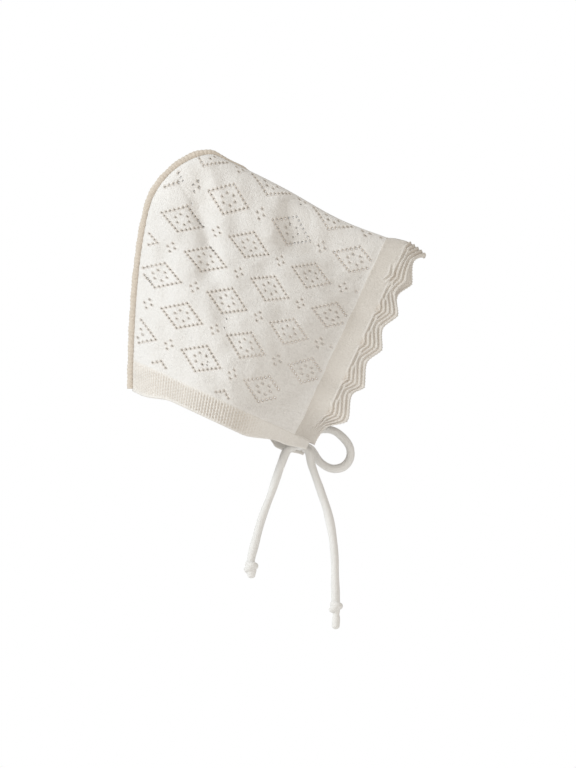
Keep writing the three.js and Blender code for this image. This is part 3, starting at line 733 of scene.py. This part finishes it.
def hood_outer_grid():
    """Outer places, two to a stitch: half width to each side, plus the wales' fine ribs, a crumple
    of waves that cross and bend each other, and the fine wrinkles. All of it fades at the edges."""
    row = np.arange(HOOD_ROWS + 1)[:, None]
    half_stitch = np.arange(-2 * HOOD_STITCHES, 2 * HOOD_STITCHES + 1)[None, :]
    x, z = hood_places(row, half_stitch / 2.0)
    wide = half_width(x, z)
    rib = KNIT["rib"] * (half_stitch % 2) * np.clip(wide / 4.0, 0.0, 1.0)
    uneven = CRUMPLE["stitch"] * np.random.default_rng(7).standard_normal(wide.shape)
    lengthways = x / FINE_WAVE["x"] + np.sin(z / FINE_WAVE["bend_z"])
    upright = z / FINE_WAVE["z"] + np.sign(half_stitch) + np.sin(x / FINE_WAVE["bend_x"])
    crumple = CRUMPLE["fine"] * np.sin(lengthways) * np.sin(upright)
    slanting = x / SOFT_WAVE["x"] - z / SOFT_WAVE["z"]
    crossing = z / SOFT_WAVE["cross_z"] + x / SOFT_WAVE["cross_x"]
    crumple = crumple + CRUMPLE["soft"] * np.sin(slanting) * np.sin(crossing)
    crumple = crumple + fold_relief(x, z, WRINKLES)
    relief = rib + (uneven + crumple) * np.clip(wide / CRUMPLE["full_at"], 0.0, 1.0)
    relief = relief * smoothstep(z, HOOD_LOW, HOOD_LOW + RELIEF_FADE["neck"])
    relief = relief * smoothstep(x - back_line(z), 0.0, RELIEF_FADE["seam"])
    behind = HOOD_FRONT - x
    relief = relief * smoothstep(behind, RELIEF_FADE["front_start"], RELIEF_FADE["front"])
    return x, np.sign(half_stitch) * (wide + relief), z


def hood_inner_grid():
    """Inner places, one to a stitch, moved in by the wall at the ridge, the seam and the side."""
    row = np.arange(HOOD_ROWS + 1)[:, None]
    stitch = np.arange(-HOOD_STITCHES, HOOD_STITCHES + 1)[None, :]
    x, z = hood_places(row, stitch)
    wall = KNIT["wall"]
    gap = x - back_line(z)
    moved_z = z - wall * np.exp(-(ridge_height(x) - z) / CREASE["radius"])
    moved_x = x + (back_line(moved_z) - back_line(z)) * np.exp(-gap / 15.0)
    moved_x = moved_x + wall * np.exp(-gap / CREASE["radius"])
    moved_x = np.where(row == 0, x, moved_x)
    return moved_x, np.sign(stitch) * half_width(moved_x, moved_z, wall), moved_z


def round_eyelets(grid, chart):
    """Draws each open stitch's four corners toward its middle, and its two middles less."""
    open_row, open_stitch = np.nonzero(chart)
    left = 2 * open_stitch
    drawn_in = chart[open_row, open_stitch]
    middle = [(axis[open_row, left + 1] + axis[open_row + 1, left + 1]) / 2.0 for axis in grid]
    for down in (0, 1):
        for across, share in ((0, 1.0), (1, DRAWN_IN["middle_share"]), (2, 1.0)):
            for axis, centre in zip(grid, middle):
                here = axis[open_row + down, left + across]
                axis[open_row + down, left + across] = here + share * drawn_in * (centre - here)
    return grid


def make_hood():
    """The lace hood: an outer surface with two columns to a stitch and an inner one with one,
    joined round each open stitch and along the front and the neck."""
    outer = [axis.copy() for axis in np.broadcast_arrays(*hood_outer_grid())]
    inner = hood_inner_grid()
    side = lozenge_eyelets(HOOD_ROWS, HOOD_STITCHES)
    row = np.arange(1, HOOD_ROWS + 1)[:, None]
    corner_x, corner_z = hood_places(row, np.arange(1, HOOD_STITCHES + 1)[None, :])
    clear = corner_x > back_line(corner_z) + PLAIN_MARGIN["seam"]
    clear = clear & (corner_z > HOOD_LOW + PLAIN_MARGIN["neck"])
    clear = clear & ((corner_x < PLAIN_CORNER["x"]) | (corner_z > PLAIN_CORNER["z"]))
    side = np.where(clear, side, 0.0)
    chart = np.concatenate([side[:, ::-1], side], axis=1)
    outer = round_eyelets(outer, chart)
    outer_points = worn(*outer)
    inner_points = worn(*inner)
    wide = outer_points.shape[1]
    narrow = inner_points.shape[1]
    first_inner = outer_points.shape[0] * wide

    def out(row, half_stitch):
        return row * wide + half_stitch

    def inn(row, stitch):
        return first_inner + row * narrow + stitch

    row, stitch = np.nonzero(chart == 0.0)
    a, b, c = 2 * stitch, 2 * stitch + 1, 2 * stitch + 2
    quads = [
        (out(row, a), out(row, b), out(row + 1, b), out(row + 1, a)),
        (out(row, b), out(row, c), out(row + 1, c), out(row + 1, b)),
        (inn(row, stitch), inn(row + 1, stitch), inn(row + 1, stitch + 1), inn(row, stitch + 1)),
    ]
    tris = []
    row, stitch = np.nonzero(chart)
    a, b, c = 2 * stitch, 2 * stitch + 1, 2 * stitch + 2
    near, far = inn(row, stitch), inn(row, stitch + 1)
    near_up, far_up = inn(row + 1, stitch), inn(row + 1, stitch + 1)
    tris.append((out(row, a), out(row, b), near))
    quads.append((out(row, b), out(row, c), far, near))
    quads.append((out(row, c), out(row + 1, c), far_up, far))
    tris.append((out(row + 1, c), out(row + 1, b), far_up))
    quads.append((out(row + 1, b), out(row + 1, a), near_up, far_up))
    quads.append((out(row + 1, a), out(row, a), near, near_up))
    stitch = np.arange(2 * HOOD_STITCHES)
    a, b, c = 2 * stitch, 2 * stitch + 1, 2 * stitch + 2
    tris.append((out(0, b), out(0, a), inn(0, stitch)))
    quads.append((out(0, c), out(0, b), inn(0, stitch), inn(0, stitch + 1)))
    row = np.arange(HOOD_ROWS)
    low, inner_low = wide - 1, narrow - 1
    quads.append((out(row + 1, low), out(row, low), inn(row, inner_low), inn(row + 1, inner_low)))
    quads.append((out(row, 0), out(row + 1, 0), inn(row + 1, 0), inn(row, 0)))
    quads = np.concatenate([np.stack(np.broadcast_arrays(*quad), axis=-1) for quad in quads])
    tris = np.concatenate([np.stack(tri, axis=-1) for tri in tris])
    points = np.concatenate([outer_points.reshape(-1, 3), inner_points.reshape(-1, 3)])
    # Faces past the seam lie flat in the centre plane, and are left out
    flat = np.abs(points[:, 1]) < 1e-9
    quads = quads[~flat[quads].all(axis=1)]
    tris = tris[~flat[tris].all(axis=1)]
    row = np.arange(HOOD_ROWS + 1)
    uv_outer = np.stack(np.meshgrid(row, np.arange(wide) / 2.0, indexing="ij"), axis=-1)
    uv_inner = np.stack(np.meshgrid(row, np.arange(narrow), indexing="ij"), axis=-1)
    uv = np.concatenate([uv_outer.reshape(-1, 2), uv_inner.reshape(-1, 2)])
    # Painted shade on the rims of the open stitches
    painted_shade = np.zeros(len(points))
    row, stitch = np.nonzero(chart)
    for down, across in ((0, 0), (0, 1), (0, 2), (1, 0), (1, 1), (1, 2)):
        painted_shade[out(row + down, 2 * stitch + across)] = EYELET_PAINTED_SHADE
    piece = put_mesh("lace_hood", points, quads, uv[quads], tris, uv[tris], painted_shade)
    piece.data.materials.append(LACE)
    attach(piece, "root")
    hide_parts("hood")


# Brim: its scallops, its lap over the hood's front edge and its chin ends
SCALLOP = {"count": 12, "base": 18.0, "valley": 4.5, "tip": 10.0, "lower_flank": 0.42, "ripple": 1.0}
BRIM = {
    "wall": 2.0, "flare": 5.0, "droop": 7.0, "droop_half_span": 0.04, "lead": 7.0, "flat_width": 28.0,
}
BRIM_LAP = {"behind": 3.0, "sunk": 0.85, "proud": 0.1, "through": -0.8, "level": 2.0}
BRIM_CHIN = {"from": 0.8, "turn": 5.0, "shorter": 0.5}
NEAR_TUCK = {"scallop": 1.0, "half_span": 0.45, "shorter": 4.5}
CHIN_FADE = (0.87, 0.97)
PICOT = {"height": 0.25, "to_a_scallop": 14.0}

# Raised lines of the brim: ridges by their place forward of the groove, chevrons by their
# place back from the edge, and what lies between them
BRIM_RIDGES = (12.9, 15.6)
CHEVRONS = (0.9, 3.9, 6.9, 9.9, 12.9)
BRIM_RAISED = {"rise": 1.2, "inside": 0.35, "ridge_half": 0.62, "chevron_half": 0.85}
# The last value of the beads and of the spots is the painted shade laid between the raised lines and in
# the sunk spots
BRIM_BEADS = {"height": 0.12, "pitch": 1.5, "painted_shade": 0.24}
BRIM_SPOTS = {"pitch": 2.4, "rows": 2.2, "forward": 14.5, "half_span": 2.2, "sink": 0.6, "painted_shade": 0.7}
BRIM_GRID = {"columns": 42, "outer": 76, "edge": 6, "inner": 30}


def groove_line():
    """The hood's section at the groove, from the near lower end over the ridge to the far one."""
    share = np.linspace(0.0, 1.0, 400)
    top = float(ridge_height(GROOVE_X))
    z = top - (top - HOOD_LOW) * share**1.8
    y = half_width(np.full_like(z, GROOVE_X), z)
    y[0] = 0.0
    side = np.stack([y, z], axis=1)
    near = side[:0:-1] * (-1.0, 1.0)
    return np.vstack([near, side])


def tip_share(share):
    """One at each scallop's tip and zero in the valleys. Down from a tip it falls fast, then it
    rises slowly to the next. One tip lies on the ridge and one at each end."""
    below = np.abs(share - 0.5) * SCALLOP["count"] % 1.0
    low = SCALLOP["lower_flank"]
    return np.maximum(1.0 - below / low, (below - low) / (1.0 - low))


def scallop_reach(share):
    """Reach past the base: soft tips and softer valleys. One near scallop is tucked back."""
    tip = tip_share(share)
    soft = 0.6 * smoothstep(tip, 0.0, 1.0) + 0.4 * tip**1.6
    reach = SCALLOP["valley"] + (SCALLOP["tip"] - SCALLOP["valley"]) * soft
    from_ridge = np.abs(share - 0.5) * SCALLOP["count"]
    tucked = bell(from_ridge, NEAR_TUCK["scallop"], NEAR_TUCK["half_span"]) * (share < 0.5)
    return reach - NEAR_TUCK["shorter"] * tucked


def brim_relief(forward, to_edge, length, tip, chin_end):
    """Two ridge lines between the scallops, V ridges nested under each tip with the outermost
    along the edge, and a few small sunk spots at the V's base. All but the edge fade at the chin
    ends. Returns the rise, and the painted shade laid between the raised lines and in the spots."""
    shown = 1.0 - smoothstep(chin_end, *CHIN_FADE)
    between = (1.0 - smoothstep(tip, 0.45, 0.8)) * shown
    ridge_half, chevron_half = BRIM_RAISED["ridge_half"], BRIM_RAISED["chevron_half"]
    lines = sum(bell(forward, place, ridge_half) for place in BRIM_RIDGES) * between
    chevrons = 0.0
    for k, place in enumerate(CHEVRONS):
        nested = smoothstep(tip, 0.2 * k - 0.4, 0.2 * k) * (shown if k else 1.0)
        chevrons = chevrons + bell(to_edge, place, chevron_half) * nested
    raised = np.minimum(lines + chevrons, 1.0)
    spots = np.cos(2.0 * np.pi * length / BRIM_SPOTS["pitch"])
    spots = spots * np.cos(2.0 * np.pi * forward / BRIM_SPOTS["rows"])
    spots = np.clip(spots, 0.0, 1.0) * smoothstep(tip, 0.6, 0.9)
    spots = spots * bell(forward, BRIM_SPOTS["forward"], BRIM_SPOTS["half_span"])
    in_edge = smoothstep(forward, 12.0, 13.5)
    beads = BRIM_BEADS["height"] * np.cos(2.0 * np.pi * length / BRIM_BEADS["pitch"]) * in_edge
    # Painted shade between the raised lines in the edge band, and deeper in the sunk spots
    painted_shade = BRIM_BEADS["painted_shade"] * (1.0 - raised) * in_edge * smoothstep(tip, -0.1, 0.5)
    painted_shade = painted_shade + BRIM_SPOTS["painted_shade"] * spots
    rise = BRIM_RAISED["rise"] * raised + beads * (1.0 - raised) - BRIM_SPOTS["sink"] * spots
    return rise, painted_shade * shown


def make_brim():
    """The brim: a profile carried round the groove section. Outer rows rise through the hood's
    front edge and run forward to the scallops, turn round the edge, and inner rows run back."""
    line = groove_line()
    length = lengths_along(line)
    line = evenly(line, length[-1] / (SCALLOP["count"] * BRIM_GRID["columns"]))
    share = np.linspace(0.0, 1.0, len(line))[:, None]
    around = lengths_along(line)[:, None]
    tip = tip_share(share)
    tangent = unit(np.gradient(line, axis=0))
    up_from_end = smoothstep(line[:, 1], 0.0, 20.0)
    normal = unit(np.stack([-tangent[:, 1], tangent[:, 0] * up_from_end], axis=1))
    chin_end = np.abs(2.0 * share - 1.0)
    chin = smoothstep(chin_end, BRIM_CHIN["from"], 1.0)
    shorter = 1.0 - BRIM_CHIN["shorter"] * chin
    picots = 2.0 * np.pi * share * SCALLOP["count"] * PICOT["to_a_scallop"]
    picot = PICOT["height"] * np.cos(picots)
    edge = (SCALLOP["base"] + scallop_reach(share) + picot) * shorter
    half_wall = BRIM["wall"] / 2.0
    lap = BRIM_LAP["behind"]
    run = np.linspace(0.0, 1.0, BRIM_GRID["outer"])[None, :]
    outer_forward = -lap + (edge - half_wall + lap) * run
    to_edge = (edge - outer_forward) / shorter
    # The brim's grooves and spots get painted shade as well as a rise
    rise, painted_shade = brim_relief(outer_forward / shorter, to_edge, around, tip, chin_end)
    sunk, proud, through = BRIM_LAP["sunk"], BRIM_LAP["proud"], BRIM_LAP["through"]
    lapped = -sunk + (sunk + proud) * smoothstep(outer_forward, -lap, through)
    lapped = lapped - proud * smoothstep(outer_forward, through, BRIM_LAP["level"])
    outer_height = rise + lapped
    run = np.linspace(1.0, 0.0, BRIM_GRID["inner"])[None, :]
    inner_forward = -0.5 + (edge - half_wall + 0.5) * run
    to_edge = (edge - inner_forward) / shorter
    rise = brim_relief(inner_forward / shorter, to_edge, around, tip, chin_end)[0]
    inner_height = -BRIM["wall"] - BRIM_RAISED["inside"] * rise
    turn = np.linspace(0.0, np.pi, BRIM_GRID["edge"] + 2)[None, 1:-1]
    middle = (outer_height[:, -1:] + inner_height[:, :1]) / 2.0
    reach = (outer_height[:, -1:] - inner_height[:, :1]) / 2.0
    edge_forward = edge - half_wall + half_wall * np.sin(turn)
    edge_height = middle + reach * np.cos(turn)
    forward = np.concatenate([outer_forward, edge_forward, inner_forward], axis=1)
    height = np.concatenate([outer_height, edge_height, inner_height], axis=1)
    painted_shade = np.concatenate([painted_shade, 0.0 * edge_forward, 0.0 * inner_forward], axis=1)
    reached = np.maximum(forward, 0.0) / (SCALLOP["base"] + SCALLOP["valley"])
    top = bell(share, 0.5, BRIM["droop_half_span"])
    droop = BRIM["droop"] * top * np.maximum(reached - 0.5, 0.0) ** 1.5 * 2.0
    wave = SCALLOP["ripple"] * np.cos(2.0 * np.pi * SCALLOP["count"] * share) * reached**2
    at_groove = half_width(np.full(len(line), GROOVE_X), line[:, 1])
    narrowing = (at_groove - half_width(np.full(len(line), GROOVE_X - 1.0), line[:, 1]))[:, None]
    lead = narrowing * forward * np.exp(-np.maximum(forward, 0.0) / BRIM["lead"])
    out = BRIM["flare"] * reached**1.6 - droop - BRIM_CHIN["turn"] * chin * reached + wave + lead
    y = line[:, :1] + normal[:, :1] * (out + height)
    z = line[:, 1:] + normal[:, 1:] * (out + height)
    sections = worn(GROOVE_X + forward, y, z)
    quads, uv = ring_faces(sections, np.arange(sections.shape[1] + 1) / 2.8, around[:, 0] / 1.5)
    piece = put_mesh("scalloped_brim", sections.reshape(-1, 3), quads, uv, painted_shade=painted_shade)
    piece.data.materials.append(BRIM_KNIT_PAINTED_SHADE)
    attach(piece, "root")
    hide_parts("brim")


# Neckband: its ribs, six columns to each, and the purl bumps between them
BAND_RIB = {"pitch": 2.1, "columns": 6, "height": 0.3, "purl": 0.24, "sunk": 0.1, "inside": 0.3}
BAND_ROWS = 22
BAND_RIBS_END = (-60.0, -36.0)
BAND_EDGE_SUNK = 0.9
BAND_FAR_SAG_FROM = (-34.0, -26.0)
BAND_FRONT_RISES = (-54.0, -26.0)


def band_lower_edge(x):
    """Level, with a rise toward the front corner, rounded at its end, and a drop at the nape."""
    front = smoothstep(x, *BAND_FRONT_RISES)
    nape = smoothstep(-x, 108.0, 134.0)
    rounded = BAND["front_round"] * smoothstep(x, -24.0, BAND["front_x"])
    return -BAND["height"] + BAND["front_rise"] * front + rounded - BAND["nape_drop"] * nape


def band_place(back, down):
    """Level x, half width and z on the band: back from 0 at the front corner to 1 at the nape,
    down from 0 at the top edge to 1 at the lower edge."""
    top = BAND["top"]
    rough_x = BAND["front_x"] + (back_line(0.0) - BAND["front_x"]) * back
    z = top + (band_lower_edge(rough_x) - top) * down
    x = BAND["front_x"] + (back_line(z) - BAND["front_x"]) * back
    wide = half_width(x, z)
    return x, np.where(back < 1.0, wide + BAND["proud"] * np.minimum(wide / 5.0, 1.0), 0.0), z


def make_neckband():
    """The ribbed band: a profile carried from the near corner round the nape to the far one. It
    runs down outside, round the lower edge and up inside, and ribs stand across it. Toward the
    front corners the ribs fade, and the far side sags a little."""
    share = 1.0 - np.linspace(1.0, 0.0, 600) ** 1.6
    x, y, z = band_place(share, 0.5)
    half = lengths_along(np.stack([x, y, z], axis=1))
    to_a_rib = BAND_RIB["columns"]
    columns = int(half[-1] / BAND_RIB["pitch"]) * to_a_rib
    back = np.interp(np.linspace(0.0, half[-1], columns + 1), half, share)
    back = np.concatenate([back, back[-2::-1]])[:, None]
    side = np.concatenate([-np.ones(columns), [0.0], np.ones(columns)])[:, None]
    down = np.linspace(0.0, 1.0, BAND_ROWS)[None, :]
    x, y, z = band_place(*np.broadcast_arrays(back, down))
    y = y * side
    z = z - BAND["far_sag"] * (side > 0) * down * smoothstep(x, *BAND_FAR_SAG_FROM)
    grid = np.stack(np.broadcast_arrays(x, y, z), axis=-1)
    normal = unit(np.cross(np.gradient(grid, axis=0), np.gradient(grid, axis=1)))
    normal = normal * np.where(normal[..., 1] * side < 0.0, -1.0, 1.0)[..., None]
    normal[columns] = (-1.0, 0.0, 0.0)
    normal[:, :, 2] *= 0.3
    normal = unit(normal)
    column = np.arange(2 * columns + 1)[:, None]
    rib = BAND_RIB["height"] * np.cos(2.0 * np.pi * column / to_a_rib) - BAND_RIB["sunk"]
    every_other = np.pi * (column // to_a_rib % 2)
    purl = BAND_RIB["purl"] * np.cos(2.0 * np.pi * z / BAND_RIB["pitch"] + every_other)
    below_top = BAND["top"] - z
    fade = smoothstep(below_top, 1.2, 3.0) * smoothstep(1.0 - down, -0.05, 0.1)
    fade = fade * (1.0 - smoothstep(x, *BAND_RIBS_END))
    sunk = BAND_EDGE_SUNK * (1.0 - smoothstep(below_top, 0.0, 1.8))
    rise = (rib + purl) * fade - sunk
    # Painted shade in the valleys between the ribs and the purl bumps
    painted_shade = np.clip(0.25 - rib - purl, 0.0, 1.0) * 0.5 * fade
    outer = grid + normal * rise[..., None]
    inner = grid - normal * (BAND["wall"] + BAND_RIB["inside"] * rise[..., None])
    turn = np.linspace(0.0, np.pi, 6)[None, 1:-1, None]
    middle = (outer[:, -1:] + inner[:, -1:]) / 2.0
    half_wall = (outer[:, -1:] - inner[:, -1:]) / 2.0
    below = np.array((0.0, 0.0, -BAND["wall"] / 2.0))
    edge = middle + half_wall * np.cos(turn) + below * np.sin(turn)
    sections = np.concatenate([outer, edge, inner[:, ::-1]], axis=1)
    plain = np.zeros((len(sections), sections.shape[1] - BAND_ROWS))
    painted_shade = np.concatenate([painted_shade, plain], axis=1)
    sections = worn(sections[..., 0], sections[..., 1], sections[..., 2])
    quads, uv = ring_faces(sections, np.arange(sections.shape[1] + 1) / 2.2, column[:, 0] / 3.0)
    piece = put_mesh("ribbed_neckband", sections.reshape(-1, 3), quads, uv, painted_shade=painted_shade)
    piece.data.materials.append(RIB)
    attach(piece, "root")
    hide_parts("neckband")


# Back seam: its oval roll, its taper over the ridge and its uneven wrapping
SEAM = {"outward": 1.3, "half_wide": 2.4, "half_thick": 1.8, "wrap": 2.6, "over_ridge": 26.0}
SEAM_SPACING = 0.42
SEAM_SIDES = 20
SEAM_TAPER = {"by": 0.7, "before_ridge": 12.0, "to_end": 14.0, "tip_by": 0.96, "tip": 6.0}
SEAM_UNEVEN = {"wrap": 0.07, "slow": 0.05, "quick": 0.06}


def make_back_seam():
    """The rolled welt: an oval carried up the back line and a little way along the ridge, with
    wrapped stitches across it and a taper at its upper end."""
    low = float(band_lower_edge(back_line(NAPE["z"]))) + 0.5
    up = np.linspace(low, CROWN["widest_z"], 200)
    over = CROWN["widest_z"] + (FACE_HEIGHT - CROWN["widest_z"]) * np.sin(np.linspace(0, np.pi / 2, 200))
    z = np.concatenate([up, over[1:-1]])
    x = back_line(z)
    ridge_x = np.linspace(CROWN["corner_x"], CROWN["corner_x"] + SEAM["over_ridge"], 40)
    x = np.concatenate([x, ridge_x])
    z = np.concatenate([z, ridge_height(ridge_x)])
    line = evenly(np.stack([x, 0.0 * x, z], axis=1), SEAM_SPACING)
    smooth = np.ones(9) / 9.0
    padded = np.pad(line, ((4, 4), (0, 0)), mode="reflect", reflect_type="odd")
    line = np.stack([np.convolve(padded[:, axis], smooth, "valid") for axis in range(3)], axis=1)
    along = lengths_along(line)
    tangent = unit(np.gradient(line, axis=0))
    outward = np.stack([-tangent[:, 2], np.zeros(len(line)), tangent[:, 0]], axis=1)
    last = along[-1]
    taper_from = last - SEAM["over_ridge"] - SEAM_TAPER["before_ridge"]
    taper = 1.0 - SEAM_TAPER["by"] * smoothstep(along, taper_from, last - SEAM_TAPER["to_end"])
    tip = smoothstep(along, last - SEAM_TAPER["tip"], last)
    taper = taper * (1.0 - SEAM_TAPER["tip_by"] * tip)
    wrap = 1.0 + SEAM_UNEVEN["wrap"] * np.cos(2.0 * np.pi * along / SEAM["wrap"])
    wrap = wrap + SEAM_UNEVEN["slow"] * np.sin(along / 5.1)
    wrap = wrap + SEAM_UNEVEN["quick"] * np.sin(along / 1.9 + np.sin(along / 7.3))
    turn = np.linspace(0.0, 2.0 * np.pi, SEAM_SIDES, endpoint=False)
    centre = line + outward * (SEAM["outward"] * taper)[:, None]
    wide = (SEAM["half_wide"] * taper * wrap)[:, None, None]
    thick = (SEAM["half_thick"] * taper * wrap)[:, None, None]
    sideways = np.array((0.0, 1.0, 0.0))
    sections = (
        centre[:, None, :]
        + outward[:, None, :] * wide * np.cos(turn)[None, :, None]
        + sideways * thick * np.sin(turn)[None, :, None]
    )
    sections = worn(sections[..., 0], sections[..., 1], sections[..., 2])
    quads, uv = ring_faces(sections, np.arange(SEAM_SIDES + 1) / 2.0, along / 1.15)
    piece = put_mesh("rolled_back_seam", sections.reshape(-1, 3), quads, uv)
    piece.data.materials.append(SEAM_KNIT_PAINTED_SHADE)
    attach(piece, "root")
    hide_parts("back_seam")


# Floor and light
FLOOR = {"z": -0.6, "radius": 1.15}
AMBIENT = (0.6, 0.575, 0.535)
LIT_PLACE = (0.0, 0.0, -0.06)

# Soft lights: name, place, size in metres, power in watts, colour
LIGHTS = (
    ("key", (-1.55, -0.68, 0.85), 0.5, 24.0, (0.9, 0.96, 1.0)),
    ("fill", (0.5, -1.5, -0.45), 0.8, 6.5, (1.0, 0.94, 0.86)),
    ("far_fill", (-0.5, 1.6, 0.5), 0.9, 11.0, (1.0, 0.98, 0.95)),
)


def make_floor():
    """A plain pale round floor below the hanging ties."""
    turn = np.linspace(0.0, 2.0 * np.pi, 96, endpoint=False)
    ring = np.stack([np.cos(turn), np.sin(turn), 0.0 * turn], axis=1) * FLOOR["radius"]
    ring[:, 2] = FLOOR["z"]
    mesh = bpy.data.meshes.new("floor")
    mesh.from_pydata(ring.tolist(), [], [list(range(len(ring)))])
    floor = bpy.data.objects.new("floor", mesh)
    bpy.context.scene.collection.objects.link(floor)
    finish = bpy.data.materials.new("floor_pale")
    finish.use_nodes = True
    shader = finish.node_tree.nodes["Principled BSDF"]
    shader.inputs["Base Color"].default_value = (0.9, 0.9, 0.9, 1.0)
    shader.inputs["Roughness"].default_value = 1.0
    shader.inputs["Specular IOR Level"].default_value = 0.0
    mesh.materials.append(finish)


def add_area_light(name, place, size, power, colour):
    """A square soft light at a place, facing the middle of the hood."""
    data = bpy.data.lights.new(name, "AREA")
    data.size = size
    data.energy = power
    data.color = colour
    light = bpy.data.objects.new(name, data)
    light.location = place
    toward = np.array(LIT_PLACE) - np.array(place)
    flat = np.hypot(toward[0], toward[1])
    light.rotation_euler = (np.arctan2(flat, -toward[2]), 0.0, np.arctan2(-toward[0], toward[1]))
    bpy.context.scene.collection.objects.link(light)


def make_light():
    """A soft surround that is white to the eye, a soft key on the left, a weak warm fill from low
    in front and a soft light on the far side."""
    world = bpy.data.worlds.new("surround")
    world.use_nodes = True
    tree = world.node_tree
    around = tree.nodes["Background"]
    around.inputs["Color"].default_value = (*AMBIENT, 1.0)
    white = tree.nodes.new("ShaderNodeBackground")
    white.inputs["Color"].default_value = (1.0, 1.0, 1.0, 1.0)
    seen = tree.nodes.new("ShaderNodeLightPath")
    mix = tree.nodes.new("ShaderNodeMixShader")
    tree.links.new(seen.outputs["Is Camera Ray"], mix.inputs[0])
    tree.links.new(around.outputs[0], mix.inputs[1])
    tree.links.new(white.outputs[0], mix.inputs[2])
    tree.links.new(mix.outputs[0], tree.nodes["World Output"].inputs["Surface"])
    bpy.context.scene.world = world
    bpy.context.scene.view_settings.view_transform = "Standard"
    for name, place, size, power, colour in LIGHTS:
        add_area_light(name, place, size, power, colour)


make_camera()
make_ties()
make_hood()
make_brim()
make_neckband()
make_back_seam()
make_floor()
make_light()
